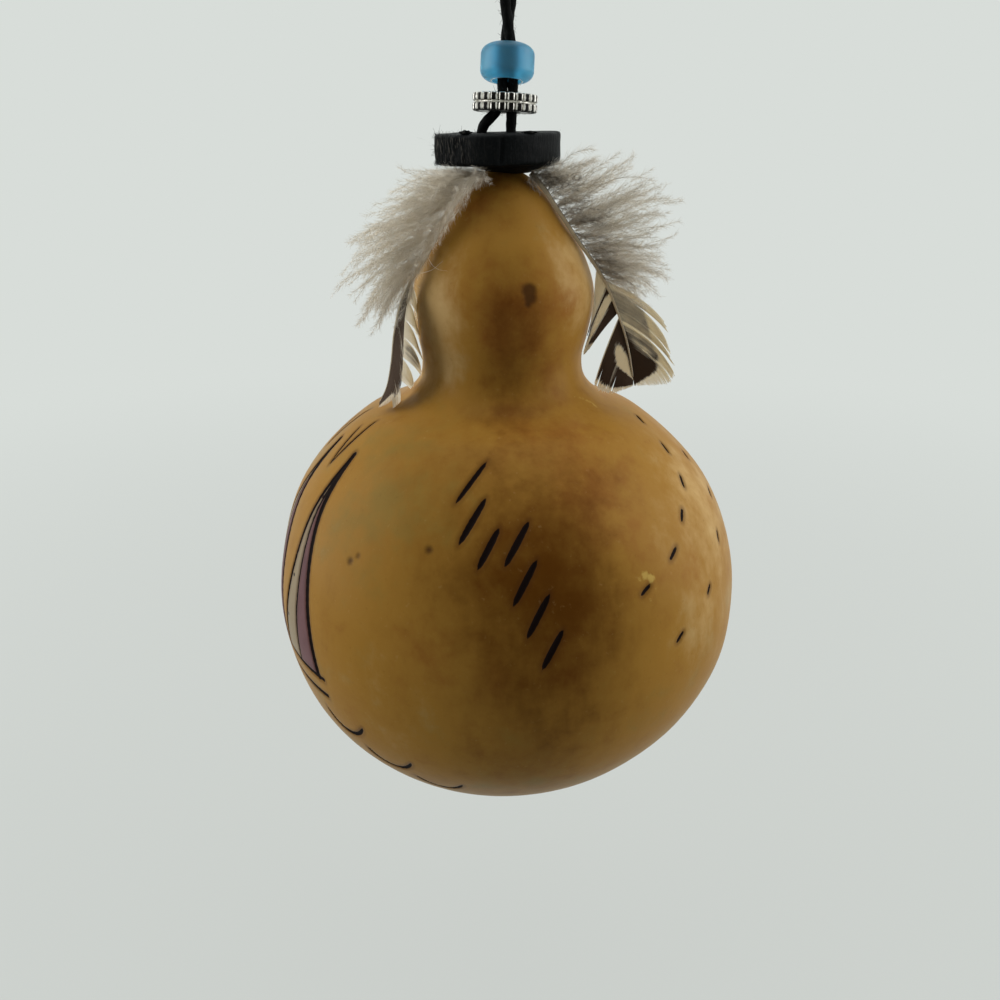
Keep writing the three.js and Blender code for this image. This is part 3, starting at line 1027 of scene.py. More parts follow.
@dataclass
class Gourd:
    """The dried gourd: a thin shell with a hole in its crown, burnt strokes and a painted band.

    Names that end in px hold places in the photo's frame, and the camera puts them on the skin.
    The band's azimuths are in degrees and its heights in millimetres above the base. A tooth line
    holds its side and width, and a dart how far its end rises and how far it slants.
    """

    base_z: float = -183.0
    wall: float = 3.0
    hole_radius: float = 2.9
    outline: tuple[Point, ...] = (
        (0, 0), (14.2, 2.3), (27.8, 9.5), (39.2, 21.8), (44.0, 35.5), (43.9, 49.0), (38.6, 64.2),
        (26.4, 76.5), (18.35, 80.3), (15.4, 83.5), (14.75, 87.3), (15.5, 91.6), (16.3, 99.4),
        (14.1, 106.2), (10.9, 111.1), (7.9, 115.7), (4.7, 118.4), (2.9, 119.3),
    )
    lean: tuple[Point, ...] = ((0, -1.2), (23, -0.4), (48, 0), (86, -1.2), (100, -0.8), (119, -1.1))
    around: int = 240
    rings: int = 150
    inner_rings: int = 28
    outline_steps: int = 600
    lean_steps: int = 60
    unevenness: float = 0.22
    groove: float = 0.28
    scar_depth: float = 0.12
    near: float = 1.5
    far: float = 4.0
    finer_cuts: int = 3
    point_power: float = 0.28
    stroke_points: int = 9
    line_points: int = 25
    slash_width: float = 1.1
    thin_slash: float = 0.85
    dash_width: float = 0.72
    pale_line_width: float = 0.3
    thin_slashes_px: tuple[tuple[Point, Point], ...] = (((487.8, 460), (454.6, 504.5)),)
    slashes_px: tuple[tuple[Point, Point], ...] = (
        ((486.6, 497), (458, 546)), ((499.6, 527), (477, 571)), ((529.6, 520), (504.2, 568)),
        ((537.5, 559), (512.5, 608)), ((550.4, 593), (526.6, 640)), ((563.8, 629), (541.8, 671)),
    )
    dashes_px: tuple[tuple[Point, Point], ...] = (
        ((636.5, 415), (644, 423)), ((661, 442), (669.6, 453.5)), ((680, 474), (684.5, 488)),
        ((682.4, 508), (682, 522)), ((677, 546), (670, 561)), ((651, 584), (641, 596)),
        ((683, 451), (688.5, 459)), ((708, 486.5), (711.4, 497)), ((717, 530), (719, 542)),
        ((710.4, 584), (707.8, 595)), ((684, 631), (676.7, 643)),
    )
    scars_px: tuple[tuple[Point, float], ...] = (
        ((529, 291), 1.25), ((530, 298), 1.1), ((528, 304), 0.6), ((429, 550), 0.62), ((350, 561), 0.6),
        ((358, 556), 0.4),
    )
    chips_px: tuple[tuple[Point, float], ...] = (
        ((645, 575), 0.7), ((651, 578), 0.75), ((656, 590), 0.2), ((640, 580), 0.2), ((650, 600), 0.15),
    )
    pale_line_px: tuple[Point, ...] = ((574, 396), (583, 399), (590, 402), (596, 406), (600, 411))
    # Dye patches mixed with painted light: the dark ones down the front middle add a painted reflection, the
    # one at (495, 185) is painted shade under the disc, and most pale ones are painted highlights and sheen.
    dye_and_light_blotches: tuple[Blotch, ...] = (
        Blotch((592, 600), 15, 0.85, 0.1), Blotch((560, 700), 16, 0.35, -0.05),
        Blotch((500, 540), 16, 0.5, 0.1), Blotch((470, 650), 16, 0.25, 0.15),
        Blotch((600, 480), 9, 0.15, 0.25), Blotch((530, 440), 13, 0.1, 0.3),
        Blotch((636, 550), 9, -0.4, 0.2), Blotch((420, 460), 16, 0.1, -0.3),
        Blotch((375, 520), 12, -0.1, -0.15), Blotch((505, 390), 9, 0.45, 0.15),
        Blotch((510, 310), 9, 0.65, 0.5), Blotch((450, 320), 8, -0.55, -0.15),
        Blotch((578, 282), 9, -0.5, 0.1), Blotch((580, 385), 5, 0.2, 0.1),
        Blotch((495, 185), 7, 0.4, 0.3), Blotch((700, 500), 12, -0.45, 0.05),
        Blotch((630, 640), 14, -0.3, 0.05), Blotch((430, 700), 14, -0.25, 0.05),
        Blotch((423, 300), 7, -0.4, 0.1), Blotch((420, 385), 7, -0.35, 0.15),
        Blotch((690, 620), 10, -0.25, 0.0), Blotch((520, 775), 14, 0.3, -0.1),
        Blotch((452, 380), 5, -0.5, -0.2),
    )
    band_middle: float = -58.0
    band_step: float = -19.5
    band_teeth: int = 6
    tooth_half: float = 9.0
    tooth_base: float = 36.0
    tooth_top: float = 73.0
    band_radius: float = 42.0
    tooth_lines: tuple[tuple[float, float], ...] = ((-1.0, 0.9), (0.0, 0.6), (1.0, 1.3))
    darts: tuple[Point, ...] = ((4.5, 3.2), (3.0, -3.4))
    dart_drop: float = 3.0
    dart_width: float = 0.6
    hook_drop: float = 11.0
    hook_radius: float = 4.6
    border_gap: float = 3.6
    border_reach: float = 2.0
    border_width: float = 0.9
    crescents: tuple[Point, ...] = ((-43.0, 31.0), (-31.0, 25.5), (-18.5, 20.5))
    crescent_radius: float = 5.4
    crescent_width: float = 1.0
    crescent_ends: tuple[float, float] = (200.0, 340.0)
    crescent_points: int = 15
    surface_tree: BVHTree | None = None

    def radius_at(self, height: Array) -> Array:
        """The skin's radius at heights above the base."""
        fine = curve_through(self.outline, self.outline_steps)
        return np.interp(height, fine[:, 1], fine[:, 0])

    def lean_at(self, height: Array) -> Array:
        """How far the centre line stands sideways at heights above the base."""
        fine = curve_through(self.lean, self.lean_steps)
        return np.interp(height, fine[:, 0], fine[:, 1])

    def on_skin(self, azimuth: float, height: float) -> Vector:
        """The skin's point at an azimuth and a height.

        Args:
            azimuth: Degrees round the gourd, above 0 to the right.
            height: Millimetres above the base.

        Returns:
            The point in millimetres.
        """
        turn = math.radians(azimuth)
        radius = float(self.radius_at(np.array([height]))[0])
        lean = float(self.lean_at(np.array([height]))[0])
        return Vector((lean + radius * math.sin(turn), -radius * math.cos(turn), height + self.base_z))

    def seen_at(self, view: Viewpoint, pixel: Point) -> Vector:
        """The skin's point in millimetres that the camera sees at a pixel of the photo's frame."""
        return self.surface_tree.ray_cast(*view.ray(pixel))[0] / MM

    def turned_shell(self) -> BMesh:
        """The shell, spun from its outer and inner outline and then made a little uneven.

        Returns:
            The new mesh.
        """
        outer = curve_through(self.outline, self.rings)
        inner = curve_through(self.outline, self.inner_rings)
        along = unit(np.gradient(inner, axis=0))
        inner = inner + np.column_stack([-along[:, 1], along[:, 0]]) * self.wall
        inner = inner[inner[:, 0] > self.hole_radius]
        ring = [*outer, (self.hole_radius, inner[-1][1]), *inner[::-1], (0.0, self.wall)]
        bm = turned([(max(radius, 0.0), height + self.base_z) for radius, height in ring], self.around, False)
        x, y, z = (np.array([v.co for v in bm.verts]) / MM).T
        shift = self.lean_at(z - self.base_z)
        wave = (np.sin(x * 0.11 + z * 0.07 + 1.0) * np.sin(y * 0.13 + z * 0.05)
                + 0.5 * np.sin(z * 0.23 + x * 0.19) * np.cos(y * 0.21 + 0.6))
        for vert, sideways, rise in zip(bm.verts, shift, wave):
            flat = Vector((vert.normal.x, vert.normal.y, 0))
            vert.co += (Vector((sideways, 0, 0)) + flat * rise * self.unevenness) * MM
        return bm

    def seen_stroke(self, view: Viewpoint, pixels: Sequence[Point], width: float) -> Stroke:
        """A burnt line on the skin along some pixels of the view."""
        return Stroke(tuple(tuple(self.seen_at(view, pixel)) for pixel in pixels), width)

    def strokes(self, view: Viewpoint) -> list[Stroke]:
        """Every burnt line on the skin.

        Args:
            view: The camera.

        Returns:
            The lines, with their points in millimetres.
        """
        made = []
        for width, pairs in ((self.slash_width, self.slashes_px), (self.thin_slash, self.thin_slashes_px),
                             (self.dash_width, self.dashes_px)):
            for start, end in pairs:
                made.append(self.seen_stroke(view, between(start, end, self.stroke_points), width))
        for k in range(self.band_teeth):
            made += self.tooth(self.band_middle + self.band_step * k)
        left = self.band_middle + self.band_step * (self.band_teeth - 1) - self.tooth_half - self.border_reach
        right = self.band_middle + self.tooth_half + self.border_reach
        for height in (self.tooth_base, self.tooth_base - self.border_gap):
            made.append(self.line((left, height), (right, height), self.border_width))
        for middle in self.crescents:
            made.append(self.crescent(middle, self.crescent_radius))
        return made

    def tooth(self, middle: float) -> list[Stroke]:
        """The burnt lines of one tooth of the band, with the marks beside it.

        Args:
            middle: The azimuth of the tooth's point.

        Returns:
            The lines.
        """
        made = []
        for side, width in self.tooth_lines:
            end = (middle + side * self.tooth_half, self.tooth_base)
            made.append(self.line((middle, self.tooth_top), end, width))
        away = middle + self.band_step / 2
        for lift, slant in self.darts:
            low, high = (away, self.tooth_top - self.dart_drop), (away + slant, self.tooth_top + lift)
            made.append(self.line(low, high, self.dart_width, pointed=True))
        made.append(self.crescent((away, self.tooth_base - self.hook_drop), self.hook_radius))
        return made

    def line(self, start: Point, end: Point, width: float, pointed: bool = False) -> Stroke:
        """A line on the skin between two places given as azimuth and height."""
        points = between(start, end, self.line_points)
        return Stroke(tuple(tuple(self.on_skin(*point)) for point in points), width, not pointed)

    def crescent(self, middle: Point, radius: float) -> Stroke:
        """A burnt crescent, open at its top.

        Args:
            middle: The azimuth and height of its middle.
            radius: Its radius in millimetres.

        Returns:
            The line.
        """
        each_mm = math.degrees(1 / self.band_radius)
        turns = np.radians(np.linspace(*self.crescent_ends, self.crescent_points))
        points = [(middle[0] + radius * math.cos(t) * each_mm, middle[1] + radius * math.sin(t))
                  for t in turns]
        return Stroke(tuple(tuple(self.on_skin(*point)) for point in points), self.crescent_width)

    def burn_at(self, places: Array, strokes: list[Stroke]) -> Array:
        """The distance to the edge of the nearest stroke, below 0 in it.

        Args:
            places: Points in millimetres.
            strokes: The burnt lines.

        Returns:
            One distance for each point.
        """
        nearest = np.full(len(places), self.far)
        for stroke in strokes:
            route = np.asarray(stroke.points)
            reach = self.far + stroke.width
            low, high = route.min(0) - reach, route.max(0) + reach
            close = np.flatnonzero(np.all((places > low) & (places < high), axis=1))
            if not len(close):
                continue
            share = np.linspace(0, 1, len(route))
            shape = np.ones_like(share) if stroke.even else np.sin(math.pi * share) ** self.point_power
            half = stroke.width / 2 * shape
            for k, (a, b) in enumerate(zip(route, route[1:])):
                span = b - a
                t = np.clip((places[close] - a) @ span / (span @ span), 0, 1)
                away = np.linalg.norm(places[close] - a - t[:, None] * span, axis=1)
                edge = away - (half[k] + (half[k + 1] - half[k]) * t)
                nearest[close] = np.minimum(nearest[close], edge)
        return nearest

    def field_at(self, places: Array, right_half: bool) -> Array:
        """The distance to the edge of the teeth's right or left halves, below 0 inside.

        Args:
            places: Points in millimetres.
            right_half: Whether the right halves are meant.

        Returns:
            One distance for each point.
        """
        height = places[:, 2] - self.base_z
        azimuth = np.degrees(np.arctan2(places[:, 0] - self.lean_at(height), -places[:, 1]))
        nearest = np.full(len(places), self.far)
        for k in range(self.band_teeth):
            side = azimuth - (self.band_middle + self.band_step * k)
            side = (side + 180) % 360 - 180
            across = np.radians(side if right_half else -side) * self.band_radius
            slope = math.radians(self.tooth_half) * self.band_radius / (self.tooth_top - self.tooth_base)
            outer = (across - (self.tooth_top - height) * slope) / math.hypot(1, slope)
            inside = np.maximum.reduce([outer, -across, self.tooth_base - height])
            nearest = np.minimum(nearest, inside)
        return nearest

    def spots_at(self, places: Array, view: Viewpoint,
                 spots: Sequence[tuple[Point, float]]) -> Array:
        """The distance to the edge of the nearest round spot, below 0 in it.

        Args:
            places: Points in millimetres.
            view: The camera.
            spots: The pixel and the radius in millimetres of each spot.

        Returns:
            One distance for each point.
        """
        nearest = np.full(len(places), self.far)
        for pixel, radius in spots:
            away = np.linalg.norm(places - np.array(self.seen_at(view, pixel)), axis=1) - radius
            nearest = np.minimum(nearest, away)
        return nearest

    def refine(self, bm: BMesh, view: Viewpoint, strokes: list[Stroke]) -> None:
        """Cuts the outer faces near the marks into smaller ones.

        Args:
            bm: The gourd's mesh.
            view: The camera.
            strokes: The burnt lines.
        """
        middles = np.array([f.calc_center_median() for f in bm.faces]) / MM
        distance = np.minimum(self.burn_at(middles, strokes), self.spots_at(middles, view, self.scars_px))
        distance = np.minimum(distance, self.spots_at(middles, view, self.chips_px))
        outwards = middles * np.array([MM, MM, 0.0])
        outside = [face.normal.dot(Vector(out)) > -0.1 * MM for face, out in zip(bm.faces, outwards)]
        chosen = [face for face, away, out in zip(bm.faces, distance, outside) if away < self.near and out]
        edges = {edge for face in chosen for edge in face.edges}
        bmesh.ops.subdivide_edges(bm, edges=list(edges), cuts=self.finer_cuts, use_grid_fill=True)

    def dress(self, made: bpy.types.Object, view: Viewpoint, strokes: list[Stroke]) -> None:
        """Sinks the strokes into the skin and stores the numbers that the material reads.

        Args:
            made: The gourd's piece.
            view: The camera.
            strokes: The burnt lines.
        """
        mesh = made.data
        places = np.array([v.co for v in mesh.vertices]) / MM
        normals = np.array([v.normal for v in mesh.vertices])
        burn = self.burn_at(places, strokes)
        pale_line = self.seen_stroke(view, self.pale_line_px, self.pale_line_width)
        chip = np.minimum(self.spots_at(places, view, self.chips_px), self.burn_at(places, [pale_line]))
        dark, warm = np.zeros(len(places)), np.zeros(len(places))
        # Dye patches and painted light: painted reflection, shade and highlights go into dark.
        for blotch in self.dye_and_light_blotches:
            away = np.linalg.norm(places - np.array(self.seen_at(view, blotch.pixel)), axis=1)
            weight = np.exp(-((away / blotch.radius) ** 2))
            dark += weight * blotch.dark
            warm += weight * blotch.warm
        values = {
            "burn": burn, "plum": self.field_at(places, True), "stone": self.field_at(places, False),
            "scar": self.spots_at(places, view, self.scars_px), "chip": chip, "dark": dark, "warm": warm,
        }
        for name, numbers in values.items():
            held = mesh.attributes.new(name, "FLOAT", "POINT")
            held.data.foreach_set("value", numbers.astype(np.float32))
        depth = smooth(-burn, -0.15, 0.4) * self.groove
        depth = depth + smooth(-values["scar"], -0.4, 0.6) * self.scar_depth
        sunk = (places - normals * depth[:, None]) * MM
        mesh.vertices.foreach_set("co", sunk.astype(np.float32).ravel())
        mesh.update()

    def make(self, view: Viewpoint, finish: Material) -> None:
        """Builds the gourd.

        Args:
            view: The camera.
            finish: The skin's material.
        """
        bm = self.turned_shell()
        self.surface_tree = BVHTree.FromBMesh(bm)
        strokes = self.strokes(view)
        self.refine(bm, view, strokes)
        made = piece(bm, "gourd_skin", finish, Slot.GOURD)
        self.dress(made, view, strokes)
        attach(made, "gourd")
        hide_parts("gourd_shell")


# Beads


def set_down(bm: BMesh, centre: Point, tilt: Point) -> None:
    """Turns a mesh about Y and then about X, and moves it to its centre.

    Args:
        bm: The mesh.
        centre: Where its middle goes, in millimetres.
        tilt: The turn about X and that about Y, in degrees.
    """
    about_x, about_y = (Matrix.Rotation(math.radians(angle), 3, axis) for angle, axis in zip(tilt, "XY"))
    turn = about_x @ about_y
    bmesh.ops.rotate(bm, verts=bm.verts, cent=(0, 0, 0), matrix=turn)
    bmesh.ops.translate(bm, verts=bm.verts, vec=Vector(centre) * MM)


def corner(centre: Point, across: float, rise: float, start: float, steps: int) -> list[Point]:
    """A quarter of an ellipse, anticlockwise from a start angle in degrees."""
    turns = np.radians(np.linspace(start, start + 90, steps + 1))
    return [(centre[0] + across * math.cos(t), centre[1] + rise * math.sin(t)) for t in turns]


@dataclass(frozen=True)
class FrostedGlass:
    """Blue glass with a matt surface."""

    tint: Colour = srgb(86, 181, 213)
    cloud: Colour = srgb(70, 166, 204)
    haze_scale: float = 0.5
    grain_scale: float = 6.0
    dent: float = 0.04
    roughness: float = 0.32
    transmission: float = 0.8
    refraction: float = 1.42

    def make(self) -> Material:
        """Builds the material.

        Returns:
            The material.
        """
        s = Surface("frosted_glass")
        where = s.place()
        haze = s.noise(where, self.haze_scale, 3.0)
        grain = s.noise(where, self.grain_scale, 3.0, 0.6)
        s.bump(grain * 0.6 + haze * 0.4, self.dent)
        colour = s.mix(haze, self.tint, self.cloud)
        rough = grain * 0.15 + self.roughness
        return s.finish(colour, rough, Transmission_Weight=self.transmission, IOR=self.refraction)


@dataclass(frozen=True)
class OldSilver:
    """Silver-coloured metal, bright and worn in patches, black with patina in its recesses and darker in each
    rib's middle as a painted reflection.
    """

    bright: Colour = srgb(214, 212, 205)
    worn: Colour = srgb(150, 146, 138)
    black: Colour = srgb(22, 21, 20)
    grime_scale: float = 1.6
    scratch_scale: float = 9.0
    dent: float = 0.03
    roughness: float = 0.24

    def make(self) -> Material:
        """Builds the material; the mesh holds the patina of the recesses and the painted reflection in the
        ribs' middles.

        Returns:
            The material.
        """
        s = Surface("old_silver")
        where = s.place()
        grime = s.noise(where, self.grime_scale, 4.0, 0.65)
        fine = s.noise(where, self.scratch_scale, 3.0)
        # Black for the patina in the recesses and for the painted reflection in each rib's middle.
        patina_and_painted_reflection = (s.attribute("patina_and_painted_reflection") + (grime - 0.5) * 0.5).step(0.3, 0.62)
        colour = s.mix(patina_and_painted_reflection, s.mix(grime.step(0.4, 0.75), self.bright, self.worn), self.black)
        s.bump(fine * 0.5 + grime * 0.5, self.dent)
        return s.finish(colour, patina_and_painted_reflection * 0.3 + self.roughness + fine * 0.1, Metallic=1.0)


@dataclass(frozen=True)
class GlassBead:
    """The blue pony bead, which leans a little on the two strands."""

    centre: Point = (-0.15, 0.0, -46.7)
    tilt: Point = (-8.5, 2.5)
    outer: float = 4.5
    hole: float = 2.45
    low: float = 3.0
    high: float = 2.6
    corner_across: float = 2.0
    corner_rise: float = 1.6
    corner_steps: int = 12
    lip: float = 0.3
    lip_steps: int = 4
    steps: int = 96
    longest_edge: float = 1.2
    cuts: int = 3

    def make(self, finish: Material) -> None:
        """Builds the bead.

        Args:
            finish: The glass.
        """
        across, rise, steps = self.corner_across, self.corner_rise, self.corner_steps
        lip, inside = self.lip, self.hole + self.lip
        low = [*corner((inside, -self.low + lip), lip, lip, 180, self.lip_steps),
               *corner((self.outer - across, -self.low + rise), across, rise, 270, steps)]
        high = [*corner((self.outer - across, self.high - rise), across, rise, 0, steps),
                *corner((inside, self.high - lip), lip, lip, 90, self.lip_steps)]
        bm = turned([*low, *high], self.steps)
        long_edges = [edge for edge in bm.edges if edge.calc_length() > self.longest_edge * MM]
        bmesh.ops.subdivide_edges(bm, edges=long_edges, cuts=self.cuts, use_grid_fill=True)
        set_down(bm, self.centre, self.tilt)
        made = piece(bm, "blue_bead", finish, Slot.GLASS)
        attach(made, "bead")
        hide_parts("glass_bead")


@dataclass(frozen=True)
class SpacerBead:
    """The silver ring: a hub with two rows of rounded ribs round it and a thin line between.

    Levels holds, from a rib's middle to its rim, the share of its size and its height there.
    """

    centre: Point = (-0.55, 0.0, -52.95)
    lean: float = 2.5
    ribs: int = 23
    first_rib: float = 0.93
    outer: float = 5.5
    hub: float = 4.75
    hub_steps: int = 114
    hub_half: float = 1.38
    hub_lip: float = 0.2
    hub_corner: float = 0.15
    hole: float = 2.7
    hole_lip: float = 0.25
    line_rise: float = 0.35
    line_half: float = 0.1
    line_foot: float = 0.16
    rib_across: float = 0.63
    rib_rise: float = 0.69
    rows_apart: float = 0.06
    corner_power: float = 4.5
    levels: tuple[tuple[float, float], ...] = (
        (0.0, 0.0), (0.35, -0.01), (0.6, -0.03), (0.8, -0.09), (0.93, -0.2), (1.0, -0.36), (1.0, -0.8),
    )

    def rib(self) -> bpy.types.Mesh:
        """One rib that faces +X, shaped from a grid; the mesh holds where its patina and its painted
        reflection lie.

        Returns:
            The rib's mesh.
        """
        steps = len(self.levels) - 1
        sizes, heights = np.array(self.levels).T

        def place(u: Array, w: Array) -> Array:
            """Rounds the square's corners and bulges its middle.

            Args:
                u: The place across the rib, 0 to 1.
                w: The place up the rib, 0 to 1.

            Returns:
                The points in millimetres.
            """
            a, b = u * 2 - 1, w * 2 - 1
            edge = np.maximum(np.maximum(np.abs(a), np.abs(b)), 1e-6)
            power = self.corner_power
            norm = np.maximum(np.abs(a / edge) ** power + np.abs(b / edge) ** power, 1.0)
            round_off = norm ** (-1 / power)
            size = np.interp(edge * steps, range(steps + 1), sizes) * round_off / edge
            rise = np.interp(edge * steps, range(steps + 1), heights)
            return np.column_stack([self.outer + rise, a * size * self.rib_across, b * size * self.rib_rise])

        bm = grid(2 * steps, 2 * steps, place)
        patina_and_painted_reflection = bm.verts.layers.float.new("patina_and_painted_reflection")
        for vert in bm.verts:
            across, rise = abs(vert.co.y / MM) / self.rib_across, abs(vert.co.z / MM) / self.rib_rise
            # The rib's middle is darkened as a painted reflection; its sunk foot gets the patina of the
            # recess.
            middle = max(0.0, min(1.0, (0.72 - across) * 5)) * max(0.0, min(1.0, (0.92 - rise) * 6))
            sunk = vert.co.x / MM < self.outer - 0.5
            vert[patina_and_painted_reflection] = 0.95 if sunk else 0.05 + 0.7 * middle
        bmesh.ops.recalc_face_normals(bm, faces=bm.faces)
        mesh = bpy.data.meshes.new("rib")
        bm.to_mesh(mesh)
        bm.free()
        return mesh

    def make(self, finish: Material) -> None:
        """Builds the ring.

        Args:
            finish: The metal.
        """
        low = [(self.hole, self.hub_lip - self.hub_half), (self.hole + self.hole_lip, -self.hub_half),
               (self.hub - self.hub_lip, -self.hub_half), (self.hub, self.hub_corner - self.hub_half),
               (self.hub, -self.line_foot), (self.hub + self.line_rise, -self.line_half)]
        high = [(radius, -height) for radius, height in reversed(low)]
        bm = turned([*low, *high], self.hub_steps)
        patina_and_painted_reflection = bm.verts.layers.float.new("patina_and_painted_reflection")
        for vert in bm.verts:
            away = math.hypot(vert.co.x, vert.co.y) / MM
            vert[patina_and_painted_reflection] = 0.0 if away > self.hub + 0.1 else 0.8 if away > self.hub - 0.05 else 0.35
        rib = self.rib()
        for row in (-1, 1):
            for k in range(self.ribs):
                start = len(bm.verts)
                bm.from_mesh(rib)
                bm.verts.ensure_lookup_table()
                new = bm.verts[start:]
                bmesh.ops.translate(bm, verts=new, vec=(0, 0, row * (self.rib_rise + self.rows_apart) * MM))
                turn = Matrix.Rotation(2 * math.pi * (k + self.first_rib) / self.ribs, 3, "Z")
                bmesh.ops.rotate(bm, verts=new, cent=(0, 0, 0), matrix=turn)
        bpy.data.meshes.remove(rib)
        set_down(bm, self.centre, (0.0, self.lean))
        made = piece(bm, "silver_ring", finish, Slot.SILVER)
        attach(made, "spacer")
        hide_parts("spacer_bead")


# Leather disc


@dataclass(frozen=True)
class BlackLeather:
    """Thick dyed leather: smooth and bluish black with a painted sheen on its top edge, grey where its edge
    is raw.
    """

    black: Colour = srgb(4, 6, 7)
    sheen: Colour = srgb(40, 42, 43)
    fibre: Colour = srgb(92, 88, 82)
    fibre_scale: float = 3.2
    fibre_stretch: float = 0.16
    pore_scale: float = 2.4
    dent: float = 0.16
    roughness: float = 0.42
    specular: float = 0.05

    def make(self) -> Material:
        """Builds the material; the mesh holds how raw the edge is and where the painted sheen lies.

        Returns:
            The material.
        """
        s = Surface("black_leather")
        upright = s.noise(s.place(scale=(1, 1, self.fibre_stretch)), self.fibre_scale, 4.0, 0.65)
        pores = s.noise(s.place(), self.pore_scale, 3.0, 0.6)
        raw = s.attribute("raw")
        edge = s.attribute("edge")
        # Paler pores, and a painted sheen along the top edge.
        colour = s.mix(pores.step(0.45, 0.85) * 0.35 + edge * 0.75, self.black, self.sheen)
        colour = s.mix(raw * upright.step(0.5, 0.75), colour, self.fibre)
        s.bump(upright * 0.7 + pores * 0.3, self.dent)
        rough = raw * 0.25 + pores * 0.1 + self.roughness
        return s.finish(colour, rough, Specular_IOR_Level=self.specular)


